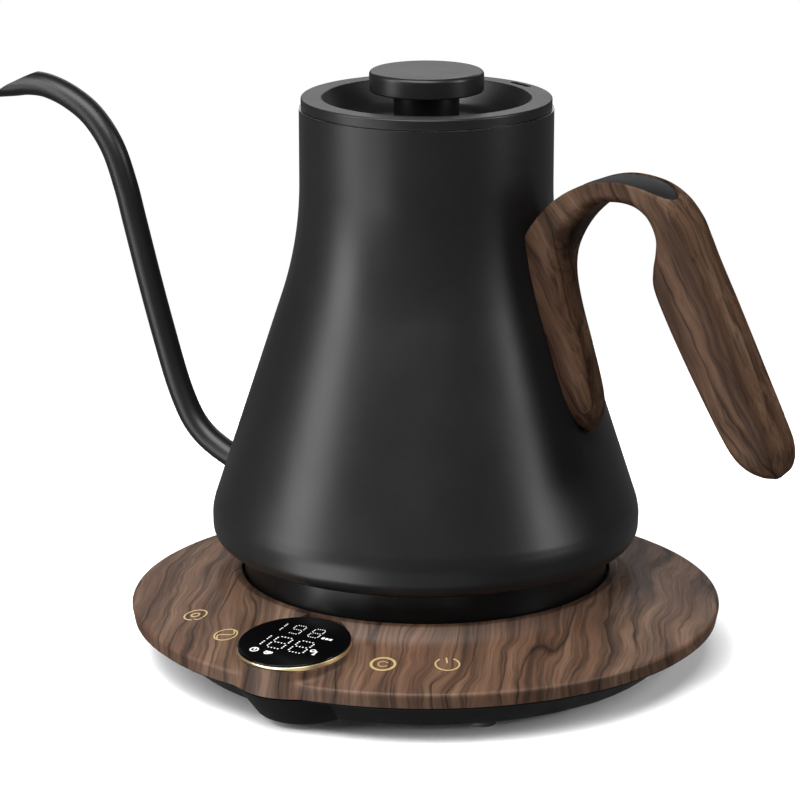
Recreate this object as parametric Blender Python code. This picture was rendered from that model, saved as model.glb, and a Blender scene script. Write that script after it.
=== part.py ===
"""Gooseneck kettle on a round cordless base with a display dial.

The kettle's axis is vertical. The spout points to -X, the handle to +X and the display to -Y.
Lengths are millimetres until the mesh builders turn them into metres. The floor is at height 0.
"""

import math

import bmesh
import bpy
from mathutils import Matrix, Vector

MM = 0.001
GAP = 0.3             # clearance between neighbouring pieces

# Where the kettle's axis stands: the spout's tip and the grip reach equally far from X = 0.
AXIS_X = 20.36

# Round pieces
LARGE_SIDES = 40
HIDDEN_SIDES = 32
MEDIUM_SIDES = 24
SMALL_SIDES = 12
SCREW_SIDES = 8

# Base
BASE_RADIUS = 95.0
FLOOR_LEVEL = 2.5     # underside of the lower shell, as high as the feet
SHELL_WALL = 2.5
SEAM_LEVEL = 13.5     # top edge of the lower shell
WOOD_LEVEL = 13.9     # lower edge of the wood-look cover
RIM_LEVEL = 18.7      # top edge of the rim
COVER_SLOPE = 0.196   # rise of the cover for each millimetre towards the axis
SEAT_RADIUS = 60.2
SEAT_LEVEL = 25.7
LIP_LEVEL = 28.7
COVER_WALL = 2.2

# Display dial
DISPLAY_REACH = 79.0
DISPLAY_LEVEL = 26.1
DISPLAY_TILT = math.radians(6.8)
TURRET_TOP_RADIUS = 17.6
TURRET_FOOT_RADIUS = 18.6
RING_RADIUS = 17.45
RING_TOP = -0.8       # these levels are along the display's own axis, from the top of the glass
RING_FOOT = -2.1
LEDGE = -5.3          # ledge inside the turret

# Bowl under the turret, as level circles: radius, distance of the centre from the axis, level
BOWL = [(13.2, 72.4, 1.9), (14.6, 72.9, 2.6), (18.4, 79.0, 13.4)]
BOWL_HOLLOW = [(12.4, 73.2, 4.4), (16.0, 79.0, 13.4), (16.0, 79.0, 20.0)]

# Touch icons: distance from the axis and angle from the display
ICON_RADIUS = 4.0
ICONS = {"touch_icon_timer": (79.2, -36.1), "touch_icon_preset": (79.7, -20.7),
         "touch_icon_hold": (78.3, 21.1), "touch_icon_power": (77.8, 35.5)}

# Base internals
FOOT_REACH = 72.0
FOOT_RADIUS = 3.9
BOSS_REACH = 70.0
BOSS_RADIUS = 3.6
SCREW_RADIUS = 1.4
PANEL_LEVEL = 12.0
BOARD_LEVEL = 9.6
BOARD_THICKNESS = 1.6
PLUG_RADIUS = 16.0    # raised part of the base connector
PLUG_TOP = 35.0
GLAND_LEVEL = 9.0
GLAND_END = 97.6

# Kettle
BODY_WALL = 1.0
BODY_FOOT = 38.7
BODY_FOOT_RADIUS = 62.0
BODY_RADIUS = 68.6    # widest place
BODY_TOP = 178.9
NECK_RADIUS = 40.0
CONE_TAN = 0.33       # loss of radius for each millimetre upwards
BODY_HEIGHTS = [155.5, 146.0, 137.0, 128.0, 118.4, 52.0]
COVER_RADIUS = 58.5
COVER_FOOT = 26.2
PLATE_LEVEL = 40.0
PLATE_RADIUS = 60.0

# Spout: centre line in the plane Y = 0, from inside the body to beyond the beak
SPOUT_OUTER = 4.05
SPOUT_INNER = 3.3
SPOUT_LINE = [(-66.0, 50.8), (-73.4, 53.4), (-80.2, 56.5), (-85.9, 60.2), (-90.6, 65.4),
              (-94.8, 73.5), (-98.5, 83.4), (-105.6, 105.9), (-112.3, 129.0), (-115.9, 141.4),
              (-120.9, 153.7), (-128.4, 163.1), (-137.3, 168.7), (-146.6, 171.7),
              (-154.3, 172.0), (-160.8, 171.0), (-170.5, 169.6)]
BEAK_LOW = (-166.4, 166.4)
BEAK_HIGH = (-150.3, 176.5)

# Handle: pairs of points (gap side, back side) and the width across, from the tip on the body,
# over the arch and down to the end of the grip
HANDLE = [
    ((60.0, 82.0), (58.4, 82.6), 3.0),
    ((62.0, 84.8), (56.4, 86.0), 9.0),
    ((62.8, 89.2), (54.4, 90.8), 12.6),
    ((61.9, 95.8), (51.5, 98.5), 14.6),
    ((58.3, 108.7), (46.8, 112.0), 15.0),
    ((54.6, 121.1), (42.4, 125.0), 15.2),
    ((52.7, 130.5), (39.4, 135.5), 15.8),
    ((52.7, 138.2), (39.4, 142.7), 16.6),
    ((55.1, 145.3), (43.0, 148.7), 17.4),
    ((59.3, 151.5), (49.8, 156.1), 17.8),
    ((65.0, 156.3), (58.5, 161.5), 18.0),
    ((71.4, 157.5), (69.0, 164.2), 17.8),
    ((77.3, 156.5), (79.9, 163.1), 17.8),
    ((81.8, 152.9), (87.6, 159.3), 17.8),
    ((84.3, 148.1), (93.0, 153.4), 17.8),
    ((84.4, 143.3), (96.0, 147.6), 17.8),
    ((83.7, 137.9), (98.4, 142.3), 17.9),
    ((84.2, 132.4), (100.8, 137.3), 18.1),
    ((88.6, 123.2), (104.4, 129.9), 18.7),
    ((95.2, 111.3), (109.6, 118.9), 19.4),
    ((101.9, 99.9), (115.5, 106.5), 19.9),
    ((108.9, 88.5), (121.8, 93.6), 20.0),
    ((112.7, 83.3), (125.2, 86.5), 19.6),
    ((116.3, 80.0), (126.3, 80.6), 17.4),
    ((119.9, 77.8), (125.6, 76.7), 11.6),
]
PAD_START = 9.7       # thumb pad, in stations of HANDLE
PAD_END = 13.0
PAD_WIDTH = 16.2
PAD_DEPTH = 1.6
EDGE_BEVEL = 0.6      # along both edges of the back

BRACKET_WIDTH = 8.0
BRACKET_HEIGHTS = (97.0, 106.0, 115.0, 124.0, 133.0)
BRACKET_STAND_OFF = 0.4
BRACKET_THICKNESS = 2.0

# Lid
LID_RADIUS = 39.4
LID_TOP = 182.4
DISH_RADIUS = 33.0
DISH_LEVEL = 174.2
KNOB_RADIUS = 18.0
KNOB_FOOT = 184.3
KNOB_TOP = 190.7
STEM_RADIUS = 10.3
PLUG_OUTER = 36.6
VENT_ANGLE = 65.0


# ---------------------------------------------------------------- building blocks

def finish(name, colour, roughness, metallic=0.0):
    """A Principled material."""
    material = bpy.data.materials.new(name)
    material.use_nodes = True
    shader = material.node_tree.nodes["Principled BSDF"]
    shader.inputs["Base Color"].default_value = (*colour, 1.0)
    shader.inputs["Roughness"].default_value = roughness
    shader.inputs["Metallic"].default_value = metallic
    return material


def frame(name, place=(0.0, 0.0, 0.0), turn=(0.0, 0.0, 0.0), parent=None):
    """An empty that carries pieces; its place is in millimetres."""
    empty = bpy.data.objects.new(name, None)
    empty.location = Vector(place) * MM
    empty.rotation_euler = turn
    empty.parent = parent
    bpy.context.scene.collection.objects.link(empty)
    return empty


def add(name, mesh, material=None, parent=None):
    """Close a bmesh off as an object. Without a material it is a cutter."""
    bmesh.ops.recalc_face_normals(mesh, faces=mesh.faces)
    if mesh.calc_volume(signed=True) < 0:
        bmesh.ops.reverse_faces(mesh, faces=mesh.faces)
    data = bpy.data.meshes.new(name)
    mesh.to_mesh(data)
    mesh.free()
    piece = bpy.data.objects.new(name, data)
    piece.parent = parent
    bpy.context.scene.collection.objects.link(piece)
    if material is None:
        piece.hide_render = True
        piece.display_type = "WIRE"
    else:
        data.materials.append(material)
        data.shade_smooth()
        data.set_sharp_from_angle(angle=math.radians(32))
    return piece


def modify(piece, others, operation):
    """One Boolean modifier that cuts or joins a piece with all of the others."""
    group = bpy.data.collections.new(f"{piece.name}_{operation.lower()}")
    bpy.context.scene.collection.children.link(group)
    for other in others:
        group.objects.link(other)
    boolean = piece.modifiers.new(operation.lower(), "BOOLEAN")
    boolean.operation = operation
    boolean.solver = "EXACT"
    boolean.operand_type = "COLLECTION"
    boolean.collection = group


def cut(piece, cutters):
    modify(piece, cutters, "DIFFERENCE")


def unite(piece, others):
    modify(piece, others, "UNION")


def rounded(corners, steps=2):
    """A closed outline whose corners (x, y, radius) are arcs; radius 0 keeps a corner sharp."""
    outline = []
    for index, (x, y, radius) in enumerate(corners):
        corner = Vector((x, y))
        if radius == 0:
            outline.append((x, y))
            continue
        before = (Vector(corners[index - 1][:2]) - corner).normalized()
        after = (Vector(corners[(index + 1) % len(corners)][:2]) - corner).normalized()
        half = before.angle(after) / 2
        centre = corner + (before + after).normalized() * radius / math.sin(half)
        start = corner + before * radius / math.tan(half) - centre
        end = corner + after * radius / math.tan(half) - centre
        sweep = start.angle_signed(end)
        for step in range(steps + 1):
            spoke = start.copy()
            spoke.rotate(Matrix.Rotation(-sweep * step / steps, 2))
            outline.append(tuple(centre + spoke))
    return outline


def bridge(mesh, first, second):
    """Faces between two rings of vertices; either ring may be a single pole."""
    count = max(len(first), len(second))
    if count == 1:
        return
    for index in range(count):
        corners = []
        for ring, places in ((first, (index, index + 1)), (second, (index + 1, index))):
            for place in places:
                vertex = ring[place % len(ring)]
                if vertex not in corners:
                    corners.append(vertex)
        mesh.faces.new(corners)


def circle(mesh, radius, height, sides):
    """A ring of vertices around Z, or one pole where the radius is 0."""
    if radius == 0:
        return [mesh.verts.new((0.0, 0.0, height * MM))]
    ring = []
    for side in range(sides):
        angle = 2 * math.pi * side / sides
        ring.append(mesh.verts.new((radius * math.cos(angle) * MM, radius * math.sin(angle) * MM,
                                    height * MM)))
    return ring


def turned(name, profile, material=None, sides=MEDIUM_SIDES, parent=None):
    """A closed profile of (radius, height) turned around the parent's Z axis."""
    mesh = bmesh.new()
    rings = [circle(mesh, radius, height, sides) for radius, height in profile]
    for lower, upper in zip(rings, rings[1:] + rings[:1]):
        bridge(mesh, lower, upper)
    return add(name, mesh, material, parent)


def disc(name, radius, low, high, material=None, sides=MEDIUM_SIDES, parent=None):
    """A plain round plate or pin."""
    profile = [(0.0, low), (radius, low), (radius, high), (0.0, high)]
    return turned(name, profile, material, sides, parent)


def pipe(name, inner, outer, low, high, material=None, sides=MEDIUM_SIDES, parent=None):
    """A plain hollow cylinder."""
    profile = [(inner, low), (outer, low), (outer, high), (inner, high)]
    return turned(name, profile, material, sides, parent)


def lofted(name, rings, material=None, parent=None):
    """A closed skin over a row of rings of points, with a pole in the middle of each end."""
    mesh = bmesh.new()
    rows = [[mesh.verts.new(Vector(point) * MM) for point in ring] for ring in rings]
    for first, second in zip(rows, rows[1:]):
        bridge(mesh, first, second)
    for row in (rows[0], rows[-1]):
        middle = sum((vertex.co for vertex in row), Vector()) / len(row)
        bridge(mesh, row, [mesh.verts.new(middle)])
    return add(name, mesh, material, parent)


def prism(name, outline, low, high, material=None, parent=None):
    """A flat outline of (x, y) between two heights."""
    mesh = bmesh.new()
    rows = [[mesh.verts.new((x * MM, y * MM, level * MM)) for x, y in outline]
            for level in (low, high)]
    bridge(mesh, rows[0], rows[1])
    for row in rows:
        mesh.faces.new(row)
    return add(name, mesh, material, parent)


def block(name, low, high, material=None, parent=None):
    """A box between two corners."""
    outline = [(low[0], low[1]), (high[0], low[1]), (high[0], high[1]), (low[0], high[1])]
    return prism(name, outline, low[2], high[2], material, parent)


def smooth(points, spans):
    """Points on a Catmull-Rom curve through the given ones, each gap cut into spans."""
    points = [Vector(point) for point in points]
    padded = [2 * points[0] - points[1], *points, 2 * points[-1] - points[-2]]
    line = []
    for index in range(1, len(padded) - 2):
        a, b, c, d = padded[index - 1:index + 3]
        for step in range(spans):
            t = step / spans
            line.append(0.5 * (2 * b + (c - a) * t + (2 * a - 5 * b + 4 * c - d) * t ** 2
                               + (3 * b - a - 3 * c + d) * t ** 3))
    line.append(points[-1])
    return line


def sections(line, radius, sides):
    """Round sections square to a line of 3-D points."""
    rings = []
    for index, point in enumerate(line):
        along = (line[min(index + 1, len(line) - 1)] - line[max(index - 1, 0)]).normalized()
        aside = along.cross(Vector((0, 1, 0)) if abs(along.y) < 0.9 else Vector((0, 0, 1)))
        aside.normalize()
        other = along.cross(aside)
        rings.append([point + radius * (math.cos(turn) * aside + math.sin(turn) * other)
                      for turn in (2 * math.pi * side / sides for side in range(sides))])
    return rings


# ---------------------------------------------------------------- shapes shared by pieces

def body_radius(height):
    """Outer radius of the kettle body on its straight cone and in its neck."""
    blend_middle = 136.5
    blend_reach = 19.0
    blend_radius = 118.0
    cone = NECK_RADIUS + CONE_TAN * (blend_middle - height)
    if height > blend_middle + blend_reach:
        return NECK_RADIUS
    if height > blend_middle - blend_reach * 0.95:
        level = blend_middle + blend_reach - height
        return NECK_RADIUS + blend_radius - math.sqrt(blend_radius ** 2 - level ** 2)
    return cone


def body_outline(grow, foot_radius, low, high, heights, steps):
    """Profile of the body's outside from top to foot, moved out by grow."""
    line = [(body_radius(height) + grow, height) for height in heights]
    corner = rounded([(body_radius(52.0), 52.0, 0), (BODY_RADIUS, 48.6, 0),
                      (BODY_RADIUS - 0.3, BODY_FOOT, 5.6), (foot_radius, BODY_FOOT, 0)], steps)
    shoulder = [(radius + grow, max(height - grow, low)) for radius, height in corner[1:-1]]
    return [(NECK_RADIUS + grow, high), *line, *shoulder, (foot_radius, low)]


def display_level(y, drop):
    """Height of the display's tilted top at a place on the base, lowered by drop."""
    return DISPLAY_LEVEL - drop + (y + DISPLAY_REACH) * math.tan(DISPLAY_TILT)


def cover_level(radius):
    """Height of the cover's sloping top."""
    return RIM_LEVEL + (BASE_RADIUS - radius) * COVER_SLOPE


def screw(name, head, shaft, neck, length, material, parent):
    """A pan-head screw that points up along the parent's Z: its head below, its tip at length."""
    profile = [(0.0, 0.0), (head, 0.0), (head, neck), (shaft, neck), (shaft, length - shaft),
               (0.0, length)]
    return turned(name, profile, material, SCREW_SIDES, parent)


# ---------------------------------------------------------------- base

def base_covers(axis, display, walnut, plastic):
    """The wood-look cover with its display turret, and the dished lower shell."""
    inside = BASE_RADIUS - COVER_WALL
    profile = rounded([
        (94.3, WOOD_LEVEL, 0), (BASE_RADIUS, 17.6, 0), (BASE_RADIUS, RIM_LEVEL, 0.9),
        (66.8, cover_level(66.8), 6.0), (62.2, LIP_LEVEL, 0.5), (SEAT_RADIUS, LIP_LEVEL, 0.5),
        (SEAT_RADIUS, SEAT_LEVEL, 0), (PLUG_RADIUS + 1.0, SEAT_LEVEL, 0),
        (PLUG_RADIUS + 1.0, SEAT_LEVEL - 2.5, 0), (62.2, SEAT_LEVEL - 2.5, 0),
        (66.0, cover_level(66.0) - COVER_WALL, 0), (inside, RIM_LEVEL - 1.6, 0),
        (inside - 0.4, WOOD_LEVEL, 0)], 1)
    cover = turned("base_top_shell", profile, walnut, LARGE_SIDES, axis)

    mesh = bmesh.new()
    rows = []
    for radius, drop in ((TURRET_FOOT_RADIUS, None), (TURRET_TOP_RADIUS, -RING_TOP)):
        row = []
        for side in range(MEDIUM_SIDES):
            angle = 2 * math.pi * side / MEDIUM_SIDES
            x = radius * math.cos(angle)
            y = radius * math.sin(angle) - DISPLAY_REACH
            level = WOOD_LEVEL if drop is None else display_level(y, drop)
            row.append(mesh.verts.new((x * MM, y * MM, level * MM)))
        rows.append(row)
        mesh.faces.new(row)
    bridge(mesh, *rows)
    turret = add("turret", mesh, None, axis)
    pocket = turned("turret_pocket", [
        (0.0, -14.0), (14.0, -14.0), (14.0, LEDGE), (RING_RADIUS - 0.75, LEDGE),
        (RING_RADIUS - 0.75, RING_FOOT - GAP), (RING_RADIUS + GAP, RING_FOOT - GAP),
        (RING_RADIUS + GAP, 6.0), (0.0, 6.0)], None, MEDIUM_SIDES, display)

    dish = turned("base_bottom_shell", rounded([
        (0.0, FLOOR_LEVEL, 0), (78.2, FLOOR_LEVEL, 1.5), (86.0, 10.3, 4.0), (93.2, 13.0, 0),
        (93.4, SEAM_LEVEL, 0), (0.0, SEAM_LEVEL, 0)]), plastic, LARGE_SIDES, axis)
    inner = turned("dish_hollow", [
        (0.0, FLOOR_LEVEL + SHELL_WALL), (77.0, FLOOR_LEVEL + SHELL_WALL), (84.0, 12.2),
        (88.0, SEAM_LEVEL + 1.0), (0.0, SEAM_LEVEL + 1.0)], None, LARGE_SIDES, axis)
    bowl = lofted("bowl", bowl_rings(BOWL), None, axis)
    hollow = lofted("bowl_hollow", bowl_rings(BOWL_HOLLOW), None, axis)
    return cover, dish, [turret], [pocket], [bowl], [inner, hollow]


def bowl_rings(rows):
    """Level circles whose centres lie on the display's side of the axis."""
    rings = []
    for radius, reach, level in rows:
        ring = []
        for side in range(MEDIUM_SIDES):
            angle = 2 * math.pi * side / MEDIUM_SIDES
            ring.append((radius * math.cos(angle), radius * math.sin(angle) - reach, level))
        rings.append(ring)
    return rings


def display_parts(display, gold, glass, plastic, board):
    """Black glass, its carrier and board, and the gold ring that turns around them."""
    turned("display_glass", [(0.0, -1.6), (15.6, -1.6), (15.6, -0.5), (17.35, -0.5), (17.35, -0.15),
                             (17.2, 0.0), (0.0, 0.0)], glass, MEDIUM_SIDES, display)
    turned("display_ring", [(15.9, RING_TOP), (RING_RADIUS, RING_TOP), (RING_RADIUS, RING_FOOT),
                            (16.4, RING_FOOT), (16.4, LEDGE + 0.4), (15.9, LEDGE + 0.4)],
           gold, MEDIUM_SIDES, display)
    turned("display_carrier", [(0.0, -7.5), (13.6, -7.5), (13.6, LEDGE + GAP), (15.5, LEDGE + GAP),
                               (15.5, -1.9), (14.6, -1.9), (14.6, -3.4), (0.0, -3.4)],
           plastic, MEDIUM_SIDES, display)
    disc("display_board", 14.2, -3.1, -2.2, board, MEDIUM_SIDES, display)


def touch_parts(axis, cover_cuts, gold, spring_steel, board):
    """Four touch icons set into the cover, their contact springs and the board they stand on."""
    tilt = math.atan(COVER_SLOPE)
    for number, (name, (reach, angle)) in enumerate(ICONS.items(), 1):
        azimuth = math.radians(angle)
        place = (reach * math.sin(azimuth), -reach * math.cos(azimuth), cover_level(reach))
        stand = frame(name + "_frame", place, (tilt, 0.0, azimuth), axis)
        turned(name, [(0.0, -0.6), (ICON_RADIUS, -0.6), (ICON_RADIUS, 0.05),
                      (ICON_RADIUS - 0.7, 0.05), (ICON_RADIUS - 0.7, -0.15), (0.0, -0.15)],
               gold, SMALL_SIDES, stand)
        cover_cuts.append(disc(name + "_pocket", ICON_RADIUS + GAP, -0.9, 3.0, None, SMALL_SIDES, stand))

        turns = 2.5
        coil_steps = 16
        foot = PANEL_LEVEL + BOARD_THICKNESS + GAP + 0.4
        rise = cover_level(reach + 3.0) - COVER_WALL - 1.0 - foot
        route = []
        for step in range(coil_steps + 1):
            part = step / coil_steps
            sweep = 2 * math.pi * turns * part
            route.append(Vector((place[0] + 2.4 * math.cos(sweep), place[1] + 2.4 * math.sin(sweep),
                                 foot + rise * part)))
        lofted(f"touch_spring_{number}", sections(route, 0.3, 4), spring_steel, axis)

    outline = []
    for reach, angles in ((83.3, range(-46, 47, 4)), (68.0, range(46, -47, -4))):
        for angle in angles:
            azimuth = math.radians(angle)
            outline.append((reach * math.sin(azimuth), -reach * math.cos(azimuth)))
    prism("panel_board", outline, PANEL_LEVEL, PANEL_LEVEL + BOARD_THICKNESS, board, axis)


def power_parts(axis, plastic, brass, board, grey, blue):
    """Control board with its parts, and the round cordless connector."""
    top = BOARD_LEVEL + BOARD_THICKNESS
    block("control_board", (-32.0, 30.0, BOARD_LEVEL), (34.0, 66.0, top), board, axis)
    block("relay", (-26.0, 36.0, top + GAP), (-8.0, 50.0, top + 10.0), grey, axis)
    can = frame("can_frame", (18.0, 54.0, 0.0), parent=axis)
    turned("smoothing_capacitor", rounded([(0.0, top + GAP, 0), (5.0, top + GAP, 0),
                                           (5.0, top + 9.6, 0.8), (0.0, top + 9.6, 0)]),
           blue, SMALL_SIDES, can)
    sounder = frame("buzzer_frame", (22.0, 38.0, 0.0), parent=axis)
    pipe("buzzer", 1.0, 4.5, top + GAP, top + 6.0, plastic, SMALL_SIDES, sounder)

    turned("base_connector", rounded([
        (3.2, 14.0, 0), (13.0, 14.0, 0), (13.0, 19.5, 0), (24.0, 19.5, 0), (24.0, 22.8, 0),
        (PLUG_RADIUS, 22.8, 0), (PLUG_RADIUS, PLUG_TOP, 2.5), (10.8, PLUG_TOP, 0),
        (10.8, 24.0, 0), (8.0, 24.0, 0), (8.0, PLUG_TOP, 0), (3.2, PLUG_TOP, 0)]),
        plastic, MEDIUM_SIDES, axis)
    turned("connector_pin", rounded([(0.0, 12.5, 0), (2.2, 12.5, 0), (2.2, 33.6, 1.0),
                                     (0.0, 33.6, 0)]), brass, SMALL_SIDES, axis)
    pipe("connector_ring", 8.6, 9.8, 24.4, 31.0, brass, MEDIUM_SIDES, axis)


def base_fixings(axis, cover_joins, cover_cuts, dish_joins, dish_cuts, rubber, steel):
    """Feet, screws with their bosses, and the gland the cord would leave by, in its housing."""
    for number, angle in enumerate((-45, 45, 135, 225), 1):
        azimuth = math.radians(angle)
        place = (FOOT_REACH * math.cos(azimuth), FOOT_REACH * math.sin(azimuth), 0.0)
        stand = frame(f"foot_frame_{number}", place, parent=axis)
        turned(f"foot_{number}", rounded([(0.0, 0.0, 0), (FOOT_RADIUS, 0.0, 0.8),
                                          (FOOT_RADIUS, FLOOR_LEVEL - GAP, 0),
                                          (0.0, FLOOR_LEVEL - GAP, 0)]),
               rubber, SMALL_SIDES, stand)

    for number, angle in enumerate((-20, 35, 145, 200), 1):
        azimuth = math.radians(angle)
        place = (BOSS_REACH * math.cos(azimuth), BOSS_REACH * math.sin(azimuth), 0.0)
        stand = frame(f"boss_frame_{number}", place, parent=axis)
        level = cover_level(BOSS_REACH)
        recess = FLOOR_LEVEL + 1.6
        boss = disc(f"boss_{number}", BOSS_RADIUS, FLOOR_LEVEL + SHELL_WALL + GAP, level - 1.0,
                    None, SMALL_SIDES, stand)
        bore = disc(f"boss_bore_{number}", SCREW_RADIUS + GAP, 0.0, 15.0, None, SCREW_SIDES, stand)
        cover_joins.append(boss)
        cover_cuts.append(bore)
        dish_cuts.append(turned(f"screw_hole_{number}", [
            (0.0, 0.0), (3.2, 0.0), (3.2, recess), (SCREW_RADIUS + GAP, recess),
            (SCREW_RADIUS + GAP, recess + 3.0), (0.0, recess + 3.0)], None, SMALL_SIDES, stand))
        seat = frame(f"base_screw_frame_{number}", (0.0, 0.0, FLOOR_LEVEL + GAP), parent=stand)
        screw(f"base_screw_{number}", 2.8, SCREW_RADIUS, 1.0, 9.0, steel, seat)

    port = frame("gland_frame", (0.0, 0.0, GLAND_LEVEL), (-math.pi / 2, 0.0, 0.0), axis)
    turned("cord_gland", [(0.0, 80.0), (2.9, 80.0), (2.9, 93.6), (3.5, 93.6), (3.5, 94.8),
                          (3.1, 95.0), (3.1, 95.6), (3.5, 95.8), (3.3, GLAND_END),
                          (2.0, GLAND_END), (2.0, 92.0), (0.0, 92.0)], rubber, SMALL_SIDES, port)
    dish_joins.append(block("gland_housing", (-6.0, 78.5, 4.2), (6.0, 93.2, SEAM_LEVEL - 0.1), None, axis))
    dish_cuts.append(disc("gland_hole", 2.9 + GAP, 76.0, 100.0, None, SMALL_SIDES, port))


# ---------------------------------------------------------------- kettle

def kettle_shell(axis, powder_coat):
    """The steel body: a straight cone that eases into a cylindrical neck, open at both ends."""
    outside = body_outline(0.0, BODY_FOOT_RADIUS, BODY_FOOT, BODY_TOP, BODY_HEIGHTS, 3)
    inside = body_outline(-BODY_WALL, BODY_FOOT_RADIUS, BODY_FOOT + BODY_WALL, BODY_TOP,
                          BODY_HEIGHTS[::2] + BODY_HEIGHTS[-1:], 1)
    inside[-1] = (57.5, BODY_FOOT + BODY_WALL)
    profile = outside[:-1] + [(57.5, BODY_FOOT)] + inside[::-1]
    body = turned("kettle_body", profile, powder_coat, LARGE_SIDES, axis)
    first = Vector((SPOUT_LINE[0][0], 0, SPOUT_LINE[0][1]))
    along = (Vector((SPOUT_LINE[1][0], 0, SPOUT_LINE[1][1])) - first).normalized()
    line = [first - 3.0 * along, first + 12.0 * along]
    cut(body, [lofted("spout_hole", sections(line, SPOUT_OUTER + GAP, SMALL_SIDES), None, axis)])


def kettle_underside(axis, plastic, steel, aluminium, brass):
    """Heating plate, element and probe, closed from below by the cover around the connector."""
    plate = disc("heating_plate", PLATE_RADIUS, PLATE_LEVEL, PLATE_LEVEL + 2.0, aluminium,
                 HIDDEN_SIDES, axis)
    cover = turned("bottom_cover", rounded([
        (22.0, COVER_FOOT, 0), (COVER_RADIUS, COVER_FOOT, 1.2),
        (COVER_RADIUS, BODY_FOOT - GAP, 0.6), (COVER_RADIUS - 2.0, BODY_FOOT - GAP, 0),
        (COVER_RADIUS - 2.0, COVER_FOOT + 2.0, 0), (22.0, COVER_FOOT + 2.0, 0)], 1),
        plastic, LARGE_SIDES, axis)

    element = []
    element_steps = 22
    for step in range(element_steps + 1):
        angle = math.radians(25 + 310 * step / element_steps)
        element.append(Vector((38.0 * math.cos(angle), 38.0 * math.sin(angle), 36.0)))
    lofted("heating_element", sections(element, 3.4, 6), steel, axis)

    probe_stand = frame("probe_frame", (29.0, 0.0, 0.0), parent=axis)
    posts = []
    plate_cuts = [disc("probe_hole", 2.3, 36.0, 50.0, None, SMALL_SIDES, probe_stand)]
    cover_cuts = []
    turned("temperature_probe", rounded([
        (0.0, 33.0, 0), (4.0, 33.0, 0), (4.0, PLATE_LEVEL - GAP, 0), (2.0, PLATE_LEVEL - GAP, 0),
        (2.0, 52.0, 1.2), (0.0, 52.0, 0)]), brass, SMALL_SIDES, probe_stand)

    for number, angle in enumerate((90, 210, 330), 1):
        azimuth = math.radians(angle)
        place = (49.0 * math.cos(azimuth), 49.0 * math.sin(azimuth), 0.0)
        stand = frame(f"cover_screw_stand_{number}", place, parent=axis)
        posts.append(disc(f"plate_post_{number}", 3.6, 29.0, PLATE_LEVEL + 1.0, None, SMALL_SIDES,
                          stand))
        plate_cuts.append(disc(f"post_bore_{number}", SCREW_RADIUS + GAP, 20.0, 37.0, None,
                               SCREW_SIDES, stand))
        cover_cuts.append(turned(f"cover_hole_{number}", [
            (0.0, 20.0), (3.2, 20.0), (3.2, COVER_FOOT + 1.2), (SCREW_RADIUS + GAP, COVER_FOOT + 1.2),
            (SCREW_RADIUS + GAP, 30.0), (0.0, 30.0)], None, SMALL_SIDES, stand))
        seat = frame(f"cover_screw_frame_{number}", (0.0, 0.0, COVER_FOOT + 0.1), parent=stand)
        screw(f"cover_screw_{number}", 2.8, SCREW_RADIUS, 0.8, 9.5, steel, seat)
    unite(plate, posts)
    cut(plate, plate_cuts)
    cut(cover, cover_cuts)


def kettle_socket(axis, plastic):
    """The kettle's half of the cordless connector, a cup over the base's raised half."""
    turned("kettle_connector", rounded([
        (PLUG_RADIUS + 0.8, COVER_FOOT, 0), (21.4, COVER_FOOT, 0.6), (21.4, 32.0, 0),
        (20.0, 32.0, 0), (20.0, PLATE_LEVEL - 0.6, 0), (0.0, PLATE_LEVEL - 0.6, 0),
        (0.0, PLUG_TOP + 1.0, 0), (PLUG_RADIUS + 0.8, PLUG_TOP + 1.0, 1.0)]),
        plastic, MEDIUM_SIDES, axis)


def spout(axis, powder_coat):
    """A long swan-neck tube with a beak cut slantwise."""
    line = [Vector((x, 0.0, z)) for x, z in smooth(SPOUT_LINE, 2)]
    sides = 10
    mesh = bmesh.new()
    skins = []
    for radius in (SPOUT_OUTER, SPOUT_INNER):
        rows = [[mesh.verts.new(point * MM) for point in ring]
                for ring in sections(line, radius, sides)]
        for first, second in zip(rows, rows[1:]):
            bridge(mesh, first, second)
        skins.append(rows)
    bridge(mesh, skins[0][0], skins[1][0])
    bridge(mesh, skins[0][-1], skins[1][-1])
    tube = add("spout_tube", mesh, powder_coat, axis)

    low = Vector((BEAK_LOW[0], 0.0, BEAK_LOW[1]))
    high = Vector((BEAK_HIGH[0], 0.0, BEAK_HIGH[1]))
    slope = (high - low).normalized()
    up = Vector((-slope.z, 0.0, slope.x))
    corners = [low - 12 * slope, high + 12 * slope, high + 12 * slope + 20 * up,
               low - 12 * slope + 20 * up]
    rings = [[corner + Vector((0, side, 0)) for corner in corners] for side in (-10, 10)]
    cut(tube, [lofted("beak_cutter", rings, None, axis)])


def handle_section(gap_side, back_side, width):
    """One section: corners that are softest on the strip, side faces, and a back between bevels."""
    across = back_side - gap_side
    depth = across.length
    half = width / 2
    strip = min(max((84.0 - gap_side.x) / 22.0, 0.0), 1.0)
    soft = min(3.0 + max(half * 0.85 - 3.0, 0.0) * strip, half * 0.9, depth * 0.4)
    outline = [(half - soft, 0.0), (half - soft * 0.3, soft * 0.3), (half, soft),
               (half, depth - EDGE_BEVEL), (half - EDGE_BEVEL, depth - 0.15), (half * 0.36, depth)]
    mirrored = [(-side, level) for side, level in outline[::-1]]
    direction = across.normalized()
    ring = []
    for side, level in outline + mirrored:
        place = gap_side + direction * level
        ring.append(Vector((place.x, side, place.y)))
    return ring


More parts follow.
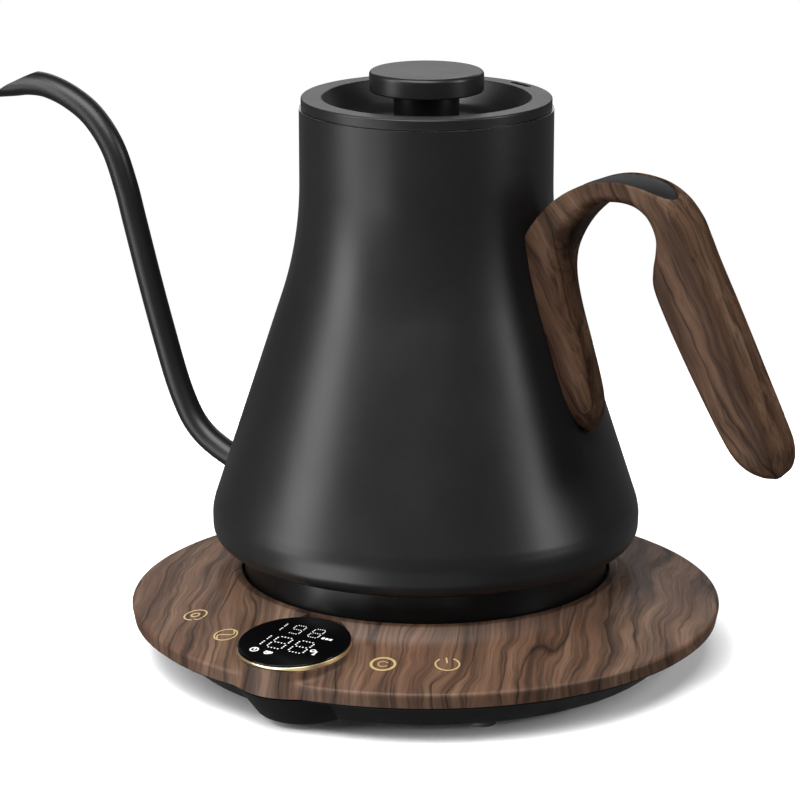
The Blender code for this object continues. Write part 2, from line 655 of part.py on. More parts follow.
def handle_stations(first, last, spans):
    """Smoothed stations (gap side, back side, width) between two places in HANDLE."""
    gap_line = smooth([pair[0] for pair in HANDLE], spans)
    back_line = smooth([pair[1] for pair in HANDLE], spans)
    widths = smooth([(pair[2], 0.0) for pair in HANDLE], spans)
    rows = zip(gap_line, back_line, widths)
    return [(gap_point, back_point, width.x)
            for index, (gap_point, back_point, width) in enumerate(rows)
            if first <= index / spans <= last]


def pad_breadth(part):
    """Share of the pad's full width at a part of its length: round at both ends."""
    from_start = max(1 - part / 0.4, 0.0)
    from_end = max(1 - (1 - part) / 0.45, 0.0)
    return math.sqrt(max(1 - from_start ** 2.2 - from_end ** 2.6, 0.0))


def thumb_pad_rings(spread, sink, lift):
    """Rings of the lens-shaped pad along the arch, spread sideways and sunk below the back."""
    spans = 4
    stations = handle_stations(PAD_START, PAD_END, spans)
    rings = []
    for index, (gap_side, back_side, _) in enumerate(stations):
        part = index / (len(stations) - 1)
        half = PAD_WIDTH / 2 * pad_breadth(min(max(part, 0.03), 0.97)) + spread
        direction = (back_side - gap_side).normalized()
        ring = []
        for side, level in ((-half, -sink), (half, -sink), (half, lift - 0.8),
                            (half * 0.5, lift - 0.1), (0.0, lift), (-half * 0.5, lift - 0.1),
                            (-half, lift - 0.8)):
            place = back_side + direction * level
            ring.append(Vector((place.x, side, place.y)))
        rings.append(ring)
    return rings


def handle(axis, walnut, rubber, steel):
    """The wood-look handle, its steel bracket and screws, and the thumb pad on its arch."""
    rings = [handle_section(*station) for station in handle_stations(0, len(HANDLE), 2)]
    grip = lofted("handle", rings, walnut, axis)

    outside = body_outline(GAP, BODY_FOOT_RADIUS, BODY_FOOT, BODY_TOP, BODY_HEIGHTS, 1)
    envelope = turned("body_envelope", [(0.0, BODY_TOP), *outside, (0.0, BODY_FOOT)], None,
                      LARGE_SIDES, axis)
    lofted("thumb_pad", thumb_pad_rings(0.0, PAD_DEPTH, 0.1), rubber, axis)
    grip_cuts = [envelope, lofted("pad_recess", thumb_pad_rings(GAP, PAD_DEPTH + GAP, 3.0), None,
                                  axis)]
    bracket_cuts = []

    slope = math.atan(CONE_TAN)
    for name, near, far, half, reach, material in (
            ("handle_bracket", BRACKET_STAND_OFF, BRACKET_STAND_OFF + BRACKET_THICKNESS,
             BRACKET_WIDTH / 2, 0.0, steel),
            ("bracket_pocket", -2.0, BRACKET_STAND_OFF + BRACKET_THICKNESS + GAP,
             BRACKET_WIDTH / 2 + GAP, 0.6, None)):
        rings = []
        for index, height in enumerate(BRACKET_HEIGHTS):
            shift = reach * (index - 2) / 2
            radius = body_radius(height + shift)
            rings.append([Vector((radius + offset, side, height + shift))
                          for offset, side in ((near, -half), (far, -half), (far, half), (near, half))])
        piece = lofted(name, rings, material, axis)
        if material is None:
            grip_cuts.append(piece)
        else:
            bracket = piece

    for name, height in (("handle_screw_lower", 103.0), ("handle_screw_upper", 125.0)):
        place = (body_radius(height) + BRACKET_STAND_OFF + 0.1, 0.0, height)
        stand = frame(name + "_frame", place, (0.0, math.pi / 2 - slope, 0.0), axis)
        screw(name, 2.4, 1.2, 0.7, 5.0, steel, stand)
        grip_cuts.append(disc(name + "_bore", 1.2 + GAP, -3.0, 5.4, None, SCREW_SIDES, stand))
        bracket_cuts.append(turned(name + "_hole", [
            (0.0, -3.0), (2.4 + GAP, -3.0), (2.4 + GAP, 1.0), (1.2 + GAP, 1.0), (1.2 + GAP, 4.0),
            (0.0, 4.0)], None, SCREW_SIDES, stand))
    cut(grip, grip_cuts)
    cut(bracket, bracket_cuts)


# ---------------------------------------------------------------- lid

def lid(axis, powder_coat, plastic, silicone, steel):
    """Dished lid with a mushroom knob, a plug with a seal, and a screw from below."""
    cap = turned("lid_cap", rounded([
        (LID_RADIUS, BODY_TOP + GAP, 0), (LID_RADIUS, LID_TOP, 0.5), (DISH_RADIUS, LID_TOP, 0.6),
        (27.5, DISH_LEVEL, 3.0), (3.0, DISH_LEVEL, 0), (3.0, DISH_LEVEL - 1.4, 0),
        (27.0, DISH_LEVEL - 1.4, 0), (32.2, BODY_TOP + GAP, 0)], 1), powder_coat, LARGE_SIDES, axis)
    slot_angle = math.radians(VENT_ANGLE)
    slot = frame("vent_frame", (36.3 * math.cos(slot_angle), 36.3 * math.sin(slot_angle), 0.0),
                 (0.0, 0.0, slot_angle), axis)
    outline = rounded([(-1.0, -5.0, 0.9), (1.0, -5.0, 0.9), (1.0, 5.0, 0.9), (-1.0, 5.0, 0.9)])
    cut(cap, [prism("vent_slot", outline, BODY_TOP - 1.0, LID_TOP + 2.0, None, slot)])

    turned("lid_knob", rounded([
        (2.0, DISH_LEVEL + GAP, 0), (STEM_RADIUS, DISH_LEVEL + GAP, 0), (STEM_RADIUS, KNOB_FOOT, 0),
        (KNOB_RADIUS, KNOB_FOOT, 0.5), (KNOB_RADIUS, KNOB_TOP, 1.0), (0.0, KNOB_TOP, 0),
        (0.0, KNOB_FOOT, 0), (2.0, KNOB_FOOT, 0)], 1), powder_coat, LARGE_SIDES, axis)

    plug = turned("lid_plug", rounded([
        (3.0, 163.6, 0), (PLUG_OUTER - 1.0, 163.6, 0), (PLUG_OUTER - 1.0, 168.6, 0),
        (35.0, 168.6, 0), (35.0, 172.4, 0), (PLUG_OUTER, 172.4, 0), (PLUG_OUTER, 178.8, 0),
        (34.6, 178.8, 0), (34.6, 172.4, 0), (3.0, 172.4, 0)]), plastic, HIDDEN_SIDES, axis)
    passage = frame("passage_frame", (31.0 * math.cos(slot_angle), 31.0 * math.sin(slot_angle), 0.0),
                    (0.0, 0.0, slot_angle), axis)
    cut(plug, [prism("vent_passage", outline, 160.0, 175.0, None, passage)])
    turned("lid_gasket", rounded([
        (35.3, 169.0, 0), (37.4, 169.0, 0), (38.6, 170.5, 0.4), (37.4, 172.0, 0),
        (35.3, 172.0, 0)], 1), silicone, HIDDEN_SIDES, axis)
    turned("lid_inner_plate", [(3.0, 162.3), (34.0, 162.3), (34.0, 163.3), (3.0, 163.3)],
           steel, HIDDEN_SIDES, axis)
    seat = frame("lid_screw_frame", (0.0, 0.0, 161.0), parent=axis)
    screw("lid_screw", 4.4, 1.6, 1.0, 22.0, steel, seat)


# ---------------------------------------------------------------- the whole kettle

def build():
    for item in list(bpy.data.objects):
        bpy.data.objects.remove(item, do_unlink=True)

    walnut = finish("walnut_look", (0.085, 0.045, 0.028), 0.45)
    powder_coat = finish("black_powder_coat", (0.012, 0.012, 0.013), 0.5)
    plastic = finish("black_plastic", (0.015, 0.015, 0.016), 0.55)
    gold = finish("gold_metal", (0.72, 0.52, 0.25), 0.25, 1.0)
    glass = finish("black_glass", (0.008, 0.008, 0.009), 0.08)
    rubber = finish("black_rubber", (0.02, 0.02, 0.02), 0.8)
    silicone = finish("grey_silicone", (0.35, 0.35, 0.35), 0.6)
    steel = finish("stainless_steel", (0.6, 0.6, 0.6), 0.3, 1.0)
    aluminium = finish("aluminium", (0.75, 0.75, 0.76), 0.35, 1.0)
    brass = finish("brass_contact", (0.75, 0.55, 0.3), 0.3, 1.0)
    board = finish("circuit_board", (0.03, 0.16, 0.07), 0.5)
    grey = finish("relay_case", (0.1, 0.1, 0.11), 0.5)
    blue = finish("capacitor_sleeve", (0.04, 0.07, 0.25), 0.4)

    axis = frame("kettle_axis", (AXIS_X, 0.0, 0.0))
    display = frame("display_axis", (0.0, -DISPLAY_REACH, DISPLAY_LEVEL),
                    (DISPLAY_TILT, 0.0, 0.0), axis)

    cover, dish, cover_joins, cover_cuts, dish_joins, dish_cuts = base_covers(
        axis, display, walnut, plastic)
    display_parts(display, gold, glass, plastic, board)
    touch_parts(axis, cover_cuts, gold, steel, board)
    power_parts(axis, plastic, brass, board, grey, blue)
    base_fixings(axis, cover_joins, cover_cuts, dish_joins, dish_cuts, rubber, steel)
    unite(cover, cover_joins)
    cut(cover, cover_cuts)
    unite(dish, dish_joins)
    cut(dish, dish_cuts)

    kettle_shell(axis, powder_coat)
    kettle_underside(axis, plastic, steel, aluminium, brass)
    kettle_socket(axis, plastic)
    spout(axis, powder_coat)
    handle(axis, walnut, rubber, steel)
    lid(axis, powder_coat, plastic, silicone, steel)
    bpy.context.view_layer.update()


build()
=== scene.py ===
"""Looks of the gooseneck kettle: fine meshes, materials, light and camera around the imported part.

Lengths are millimetres in the kettle's own frame, whose axis is vertical. The spout points to -X,
the handle to +X and the display to -Y. add() turns them into metres in the frame of the part.
"""

import math

import bmesh
import bpy
import numpy as np
from mathutils import Matrix, Vector

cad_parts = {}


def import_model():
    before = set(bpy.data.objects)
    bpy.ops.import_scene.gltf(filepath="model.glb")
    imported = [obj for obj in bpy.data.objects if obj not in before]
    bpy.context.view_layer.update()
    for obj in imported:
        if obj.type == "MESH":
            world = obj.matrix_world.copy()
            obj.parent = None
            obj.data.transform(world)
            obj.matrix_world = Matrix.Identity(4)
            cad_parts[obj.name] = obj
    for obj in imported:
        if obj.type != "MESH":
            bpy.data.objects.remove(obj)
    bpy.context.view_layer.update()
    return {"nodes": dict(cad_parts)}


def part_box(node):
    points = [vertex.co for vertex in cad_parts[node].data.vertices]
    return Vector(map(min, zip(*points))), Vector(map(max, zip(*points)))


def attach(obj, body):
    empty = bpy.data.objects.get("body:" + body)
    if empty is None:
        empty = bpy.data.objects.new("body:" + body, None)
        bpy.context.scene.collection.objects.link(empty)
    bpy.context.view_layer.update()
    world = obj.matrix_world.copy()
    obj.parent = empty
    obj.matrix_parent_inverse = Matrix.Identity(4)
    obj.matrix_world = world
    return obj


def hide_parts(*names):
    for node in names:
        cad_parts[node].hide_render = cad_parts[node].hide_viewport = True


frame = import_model()

MM = 0.001


def span(node):
    """Lowest and highest corner of a CAD node in millimetres."""
    low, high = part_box(node)
    return low / MM, high / MM


KNOB_LOW, KNOB_HIGH = span("lid_knob")
AXIS = Vector(((KNOB_LOW.x + KNOB_HIGH.x) / 2, 0.0, 0.0))

# Base
COVER_LOW, COVER_HIGH = span("base_top_shell")
DISH_LOW, DISH_HIGH = span("base_bottom_shell")
BASE_RADIUS = COVER_HIGH.y
LIP_LEVEL = COVER_HIGH.z
SEAM_LEVEL = DISH_HIGH.z
WOOD_LEVEL = SEAM_LEVEL + 0.4
FLOOR_LEVEL = 2.5
RIM_LEVEL = 18.7
COVER_SLOPE = 0.196
SEAT_RADIUS = 59.2
SEAT_LEVEL = LIP_LEVEL - 3.0
SCREW_CIRCLE = 70.0
SCREW_ANGLES = (-20, 35, 145, 200)
GLAND = Matrix.Translation((0.0, 0.0, 9.0)) @ Matrix.Rotation(-math.pi / 2, 4, "X")

# Display
DISPLAY_REACH = 79.0
DISPLAY_LEVEL = 26.1
DISPLAY_TILT = math.radians(6.8)
DISPLAY = (Matrix.Translation((0.0, -DISPLAY_REACH, DISPLAY_LEVEL))
           @ Matrix.Rotation(DISPLAY_TILT, 4, "X"))
TURRET_TOP_RADIUS = 17.6
TURRET_FOOT_RADIUS = 18.6
BAND_RADIUS = 17.6
GLASS_RADIUS = 17.5
ICON_RADIUS = 4.0
ICONS = {"timer": (79.2, -36.1), "preset": (79.7, -20.7), "hold": (78.3, 21.1), "power": (77.8, 35.5)}

# Kettle
BODY_LOW, BODY_HIGH = span("kettle_body")
BODY_FOOT = BODY_LOW.z
BODY_TOP = BODY_HIGH.z
BODY_RADIUS = BODY_HIGH.y
NECK_RADIUS = 40.0
CONE_TAN = 0.33
PLATE_LEVEL = 40.0
COVER_FOOT = span("bottom_cover")[0].z

# Lid
LID_HIGH = span("lid_cap")[1]
LID_TOP = LID_HIGH.z
LID_RADIUS = LID_HIGH.y
DISH_LEVEL = 174.2
VENT_ANGLE = math.radians(65.0)


def upright(x, y, z=0.0):
    return Matrix.Translation((x, y, z))


def middle_of(node):
    """Centre of a CAD node in the kettle's frame."""
    low, high = span(node)
    return (low + high) / 2 - AXIS


# ---------------------------------------------------------------- mesh building

def mesh_data(name, mesh):
    """A bmesh as mesh data; the bmesh is used up."""
    data = bpy.data.meshes.new(name)
    mesh.to_mesh(data)
    mesh.free()
    return data


def new_object(name, data):
    item = bpy.data.objects.new(name, data)
    bpy.context.scene.collection.objects.link(item)
    return item


def add(name, mesh, material, body, node=None, sharp=32.0, weighted=True):
    """A bmesh as a piece that rides on a body and stands for a CAD node."""
    bmesh.ops.recalc_face_normals(mesh, faces=mesh.faces)
    data = mesh_data(name, mesh)
    data.transform(Matrix.Scale(MM, 4) @ Matrix.Translation(AXIS))
    piece = new_object(name, data)
    for item in material if isinstance(material, (list, tuple)) else [material]:
        data.materials.append(item)
    data.shade_smooth()
    data.set_sharp_from_angle(angle=math.radians(sharp))
    if weighted:
        modifier = piece.modifiers.new("even_shading", "WEIGHTED_NORMAL")
        modifier.keep_sharp = True
    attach(piece, body)
    if node:
        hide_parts(node)
    return piece


def boolean(target, others, operation="DIFFERENCE"):
    """The mesh of one bmesh cut or joined with others; all are used up."""
    objects = []
    for number, mesh in enumerate([target, *others]):
        bmesh.ops.recalc_face_normals(mesh, faces=mesh.faces)
        name = f"operand_{number}"
        objects.append(new_object(name, mesh_data(name, mesh)))
    group = bpy.data.collections.new("operands")
    bpy.context.scene.collection.children.link(group)
    for item in objects[1:]:
        group.objects.link(item)
    modifier = objects[0].modifiers.new("boolean", "BOOLEAN")
    modifier.operation = operation
    modifier.solver = "EXACT"
    modifier.operand_type = "COLLECTION"
    modifier.collection = group
    graph = bpy.context.evaluated_depsgraph_get()
    result = bmesh.new()
    result.from_mesh(objects[0].evaluated_get(graph).to_mesh())
    for item in objects:
        data = item.data
        bpy.data.objects.remove(item)
        bpy.data.meshes.remove(data)
    bpy.data.collections.remove(group)
    return result


def rounded(corners, steps=6):
    """A closed outline: corners (x, y, radius) become arcs, and corners (x, y) stay sharp."""
    outline = []
    for index, place in enumerate(corners):
        if len(place) == 2:
            outline.append(place)
            continue
        corner = Vector(place[:2])
        radius = place[2]
        before = (Vector(corners[index - 1][:2]) - corner).normalized()
        after = (Vector(corners[(index + 1) % len(corners)][:2]) - corner).normalized()
        half = before.angle(after) / 2
        centre = corner + (before + after).normalized() * radius / math.sin(half)
        start = corner + before * radius / math.tan(half) - centre
        end = corner + after * radius / math.tan(half) - centre
        sweep = start.angle_signed(end)
        for step in range(steps + 1):
            spoke = start.copy()
            spoke.rotate(Matrix.Rotation(-sweep * step / steps, 2))
            outline.append(tuple(centre + spoke))
    return outline


def divided(outline, longest, low, high):
    """The outline with its long sides cut up where their x lies between low and high."""
    points = []
    for first, second in zip(outline, outline[1:] + outline[:1]):
        length = math.dist(first, second)
        middle = (first[0] + second[0]) / 2
        parts = max(1, math.ceil(length / longest)) if low < middle < high else 1
        for part in range(parts):
            share = part / parts
            points.append((first[0] + (second[0] - first[0]) * share,
                           first[1] + (second[1] - first[1]) * share))
    return points


def bridge(mesh, first, second, material=0):
    """Faces between two rings of vertices; either ring may be a single pole."""
    count = max(len(first), len(second))
    if count == 1:
        return
    for index in range(count):
        corners = []
        for ring, places in ((first, (index, index + 1)), (second, (index + 1, index))):
            for place in places:
                vertex = ring[place % len(ring)]
                if vertex not in corners:
                    corners.append(vertex)
        mesh.faces.new(corners).material_index = material


def even_angles(sides):
    return [2 * math.pi * side / sides for side in range(sides)]


def lathe(profile, angles, place=None, inside=None):
    """A closed profile of (radius, height) turned about Z; faces from place `inside` on use slot 1."""
    mesh = bmesh.new()
    place = place or Matrix()
    rings = []
    for radius, height in profile:
        if radius == 0:
            rings.append([mesh.verts.new(place @ Vector((0.0, 0.0, height)))])
        else:
            rings.append([mesh.verts.new(place @ Vector((radius * math.cos(angle),
                                                         radius * math.sin(angle), height)))
                          for angle in angles])
    for index, (lower, upper) in enumerate(zip(rings, rings[1:] + rings[:1])):
        bridge(mesh, lower, upper, 1 if inside is not None and index >= inside else 0)
    return mesh


def turned(name, profile, material, body, node, sides=96, place=None):
    add(name, lathe(profile, even_angles(sides), place), material, body, node)


def smooth(points, spans):
    """Points on a Catmull-Rom curve through the given ones, each gap cut into spans."""
    points = [Vector(point) for point in points]
    padded = [2 * points[0] - points[1], *points, 2 * points[-1] - points[-2]]
    line = []
    for index in range(1, len(padded) - 2):
        a, b, c, d = padded[index - 1:index + 3]
        for step in range(spans):
            t = step / spans
            line.append(0.5 * (2 * b + (c - a) * t + (2 * a - 5 * b + 4 * c - d) * t ** 2
                               + (3 * b - a - 3 * c + d) * t ** 3))
    line.append(points[-1])
    return line


def sections(line, radii, sides):
    """Round sections square to a line that lies in the plane Y = 0."""
    rings = []
    for index, point in enumerate(line):
        along = (line[min(index + 1, len(line) - 1)] - line[max(index - 1, 0)]).normalized()
        aside = along.cross(Vector((0, 1, 0))).normalized()
        other = along.cross(aside)
        rings.append([point + radii[index] * (math.cos(angle) * aside + math.sin(angle) * other)
                      for angle in even_angles(sides)])
    return rings


def loft(rings):
    """A skin over a row of rings of points, closed at each end by a fan."""
    mesh = bmesh.new()
    rows = [[mesh.verts.new(point) for point in ring] for ring in rings]
    for first, second in zip(rows, rows[1:]):
        bridge(mesh, first, second)
    for row in (rows[0], rows[-1]):
        middle = sum((vertex.co for vertex in row), Vector()) / len(row)
        bridge(mesh, row, [mesh.verts.new(middle)])
    return mesh


def prism(outline, low, high, place=None):
    """A flat outline of (x, y) between two heights."""
    mesh = bmesh.new()
    place = place or Matrix()
    rows = [[mesh.verts.new(place @ Vector((x, y, level))) for x, y in outline]
            for level in (low, high)]
    bridge(mesh, *rows)
    for row in rows:
        mesh.faces.new(row)
    return mesh


def ribbon(mesh, points, width, low, high, place, closed=False):
    """A raised line of one width along points in a plane."""
    count = len(points)
    rows = []
    for index, point in enumerate(points):
        before = points[index - 1] if closed or index else point
        after = points[(index + 1) % count] if closed or index < count - 1 else point
        along = Vector((after[0] - before[0], after[1] - before[1])).normalized()
        aside = Vector((-along.y, along.x)) * width / 2
        corners = [(point[0] + aside.x, point[1] + aside.y), (point[0] - aside.x, point[1] - aside.y)]
        rows.append([mesh.verts.new(place @ Vector((*corner, level)))
                     for corner, level in ((corners[0], low), (corners[0], high),
                                           (corners[1], high), (corners[1], low))])
    for first, second in zip(rows, rows[1:] + (rows[:1] if closed else [])):
        bridge(mesh, first, second)
    if not closed:
        mesh.faces.new(rows[0])
        mesh.faces.new(rows[-1])


# ---------------------------------------------------------------- blended unions

TINY = 1e-12
ON_SURFACE = 0.02
FILLET_STEPS = 8
SIDE_MARGIN = 0.002


def outline_distance(outline, radius, height):
    """Signed distance of points to a closed outline, negative inside."""
    points = np.stack([radius, height], axis=1)
    best = np.full(len(points), np.inf)
    inside = np.zeros(len(points), bool)
    corners = np.array(outline)
    for first, second in zip(corners, np.roll(corners, -1, axis=0)):
        side = second - first
        offset = points - first
        share = np.clip(offset @ side / max(side @ side, TINY), 0.0, 1.0)
        best = np.minimum(best, np.linalg.norm(offset - share[:, None] * side, axis=1))
        crosses = (first[1] > points[:, 1]) != (second[1] > points[:, 1])
        rise = side[1] if abs(side[1]) > TINY else TINY
        crossing = first[0] + (points[:, 1] - first[1]) * side[0] / rise
        inside ^= crosses & (points[:, 0] < crossing)
    return np.where(inside, -best, best)


def turned_distance(outline):
    """Distance to a solid turned about the kettle's axis."""
    return lambda points: outline_distance(outline, np.hypot(points[:, 0], points[:, 1]),
                                           points[:, 2])


def cone_distance(low_radius, low, high_radius, high):
    """Distance to an endless tapered column around the display's foot."""
    taper = (high_radius - low_radius) / (high - low)
    slant = math.hypot(1.0, taper)

    def distance(points):
        reach = np.hypot(points[:, 0], points[:, 1] + DISPLAY_REACH)
        return (reach - low_radius - taper * (points[:, 2] - low)) / slant
    return distance


def blended(first, second, size):
    """Distance to the union of two solids with a fillet between them; size gives its radius."""
    def distance(points):
        a = first(points)
        b = second(points)
        radius = size(points)
        corner = np.hypot(np.maximum(radius - a, 0.0), np.maximum(radius - b, 0.0))
        return np.maximum(radius, np.minimum(a, b)) - corner
    return distance


def gradient(field, points, step=0.02):
    slopes = []
    for axis in range(3):
        shift = np.zeros(3)
        shift[axis] = step
        slopes.append((field(points + shift) - field(points - shift)) / (2 * step))
    return np.stack(slopes, axis=1)


def fillet_union(mesh, first, second, size, foot):
    """Moves the vertices of a sharp union onto the blended one, inside the CAD's box.

    Those at the foot keep their height.
    """
    mesh.verts.ensure_lookup_table()
    points = np.array([vertex.co for vertex in mesh.verts])
    a = first(points)
    b = second(points)
    radius = size(points)
    chosen = (np.abs(np.minimum(a, b)) < ON_SURFACE) & (a < radius) & (b < radius)
    field = blended(first, second, size)
    moving = points[chosen]
    for _ in range(FILLET_STEPS):
        slope = gradient(field, moving)
        slope[moving[:, 2] < foot + 0.01, 2] = 0.0
        moving = moving - (field(moving) / np.maximum((slope ** 2).sum(axis=1), 1e-6))[:, None] * slope
    moving[:, 1] = np.maximum(moving[:, 1], COVER_LOW.y + SIDE_MARGIN)
    for index, place in zip(np.flatnonzero(chosen), moving):
        mesh.verts[index].co = place
    return mesh


def shade_by_field(piece, first, second, size):
    """Gives the blended part of a piece the exact normals of its surface."""
    data = piece.data
    points = np.empty(len(data.vertices) * 3)
    data.vertices.foreach_get("co", points)
    points = points.reshape(-1, 3) / MM - np.array(AXIS)
    a = first(points)
    b = second(points)
    radius = size(points)
    field = blended(first, second, size)
    close = (a < radius) & (b < radius) & (np.abs(field(points)) < ON_SURFACE)
    exact = gradient(field, points)
    exact /= np.maximum(np.linalg.norm(exact, axis=1), 1e-9)[:, None]
    normals = np.empty(len(data.loops) * 3)
    data.corner_normals.foreach_get("vector", normals)
    normals = normals.reshape(-1, 3)
    corners = np.empty(len(data.loops), int)
    data.loops.foreach_get("vertex_index", corners)
    agree = (normals * exact[corners]).sum(axis=1) > 0.8
    use = close[corners] & agree
    normals[use] = exact[corners][use]
    data.normals_split_custom_set(normals.tolist())


# ---------------------------------------------------------------- materials

class Tree:
    """The node tree of a material or a world."""

    def __init__(self, owner):
        owner.use_nodes = True
        self.nodes = owner.node_tree.nodes
        self.links = owner.node_tree.links

    def node(self, kind, inputs=(), **settings):
        item = self.nodes.new(kind)
        for key, value in settings.items():
            setattr(item, key, value)
        for key, value in dict(inputs).items():
            if isinstance(value, bpy.types.NodeSocket):
                self.links.new(value, item.inputs[key])
            else:
                item.inputs[key].default_value = value
        return item

    def range(self, value, low, high, to_low=0.0, to_high=1.0):
        return self.node("ShaderNodeMapRange", {"Value": value, "From Min": low, "From Max": high,
                                                "To Min": to_low, "To Max": to_high}).outputs[0]


class Finish(Tree):
    """A Principled material and short ways to add nodes to it."""

    def __init__(self, name, colour, roughness, metallic=0.0, specular=0.5):
        self.material = bpy.data.materials.new(name)
        super().__init__(self.material)
        self.shader = self.nodes["Principled BSDF"]
        self.shader.inputs["Base Color"].default_value = (*colour, 1.0)
        self.shader.inputs["Roughness"].default_value = roughness
        self.shader.inputs["Metallic"].default_value = metallic
        self.shader.inputs["Specular IOR Level"].default_value = specular

    def place(self, turn=(0.0, 0.0, 0.0), scale=(1.0, 1.0, 1.0)):
        """Object coordinates, turned and stretched."""
        spot = self.node("ShaderNodeTexCoord").outputs["Object"]
        turned_spot = self.node("ShaderNodeMapping", {"Vector": spot, "Rotation": turn})
        return self.node("ShaderNodeMapping", {"Vector": turned_spot.outputs[0],
                                               "Scale": scale}).outputs[0]

    def noise(self, vector, scale, detail=2.0, roughness=0.5):
        return self.node("ShaderNodeTexNoise", {"Vector": vector, "Scale": scale, "Detail": detail,
                                                "Roughness": roughness}).outputs["Fac"]

    def math(self, operation, first, second=0.0):
        return self.node("ShaderNodeMath", {0: first, 1: second}, operation=operation).outputs[0]

    def ramp(self, value, stops):
        item = self.node("ShaderNodeValToRGB", {"Fac": value})
        elements = item.color_ramp.elements
        while len(elements) < len(stops):
            elements.new(0.5)
        for element, (place, colour) in zip(elements, stops):
            element.position = place
            element.color = (*colour, 1.0)
        return item.outputs["Color"]

    def mix(self, share, first, second, blend="MIX"):
        item = self.node("ShaderNodeMix", {}, data_type="RGBA", blend_type=blend)
        for number, value in ((0, share), (6, first), (7, second)):
            socket = item.inputs[number]
            if isinstance(value, bpy.types.NodeSocket):
                self.links.new(value, socket)
            elif number == 0:
                socket.default_value = value
            else:
                socket.default_value = (*value, 1.0)
        return item.outputs[2]

    def bump(self, height, strength, distance):
        item = self.node("ShaderNodeBump", {"Height": height, "Strength": strength,
                                            "Distance": distance})
        self.links.new(item.outputs[0], self.shader.inputs["Normal"])

    def set(self, socket, value):
        self.links.new(value, self.shader.inputs[socket])


# Range of a noise value that carries nearly all of its detail
NOISE_LOW = 0.3
NOISE_HIGH = 0.7
FINE_BUMP = 0.0001


def powder_coat():
    """Black powder coat: very fine orange peel and slight changes of gloss."""
    finish = Finish("black_powder_coat", (0.006, 0.006, 0.0062), 0.36, specular=0.26)
    spot = finish.place()
    peel = finish.noise(spot, 1600.0, 2.0)
    cloud = finish.noise(spot, 60.0, 3.0)
    finish.set("Roughness", finish.range(cloud, NOISE_LOW, NOISE_HIGH, 0.33, 0.38))
    finish.set("Base Color", finish.mix(finish.range(peel, 0.35, 0.65), (0.005, 0.005, 0.0052),
                                        (0.0065, 0.0065, 0.0067)))
    finish.bump(peel, 0.12, FINE_BUMP)
    return finish.material


def steel():
    """Stainless steel with fine turning marks."""
    finish = Finish("brushed_steel", (0.56, 0.55, 0.53), 0.3, 1.0)
    marks = finish.noise(finish.place(scale=(1.0, 1.0, 30.0)), 220.0, 3.0)
    finish.set("Roughness", finish.range(marks, NOISE_LOW, NOISE_HIGH, 0.22, 0.36))
    finish.bump(marks, 0.08, FINE_BUMP)
    return finish.material


def plastic(name, colour, low, high, grain=900.0, strength=0.1, specular=0.5):
    """Moulded plastic or rubber with a fine grain and uneven gloss."""
    finish = Finish(name, colour, (low + high) / 2, specular=specular)
    spot = finish.place()
    grains = finish.noise(spot, grain, 2.0)
    cloud = finish.noise(spot, 90.0, 2.0)
    finish.set("Roughness", finish.range(cloud, NOISE_LOW, NOISE_HIGH, low, high))
    finish.set("Base Color", finish.mix(finish.range(grains, NOISE_LOW, NOISE_HIGH),
                                        tuple(0.85 * part for part in colour),
                                        tuple(1.15 * part for part in colour)))
    finish.bump(grains, strength, FINE_BUMP)
    return finish.material


def metal(name, colour, low, high, metallic=1.0):
    """Satin metal with fine scratches."""
    finish = Finish(name, colour, (low + high) / 2, metallic)
    marks = finish.noise(finish.place(scale=(1.0, 1.0, 12.0)), 900.0, 2.0)
    finish.set("Roughness", finish.range(marks, NOISE_LOW, NOISE_HIGH, low, high))
    finish.set("Base Color", finish.mix(finish.range(marks, NOISE_LOW, NOISE_HIGH),
                                        tuple(0.92 * part for part in colour), colour))
    return finish.material


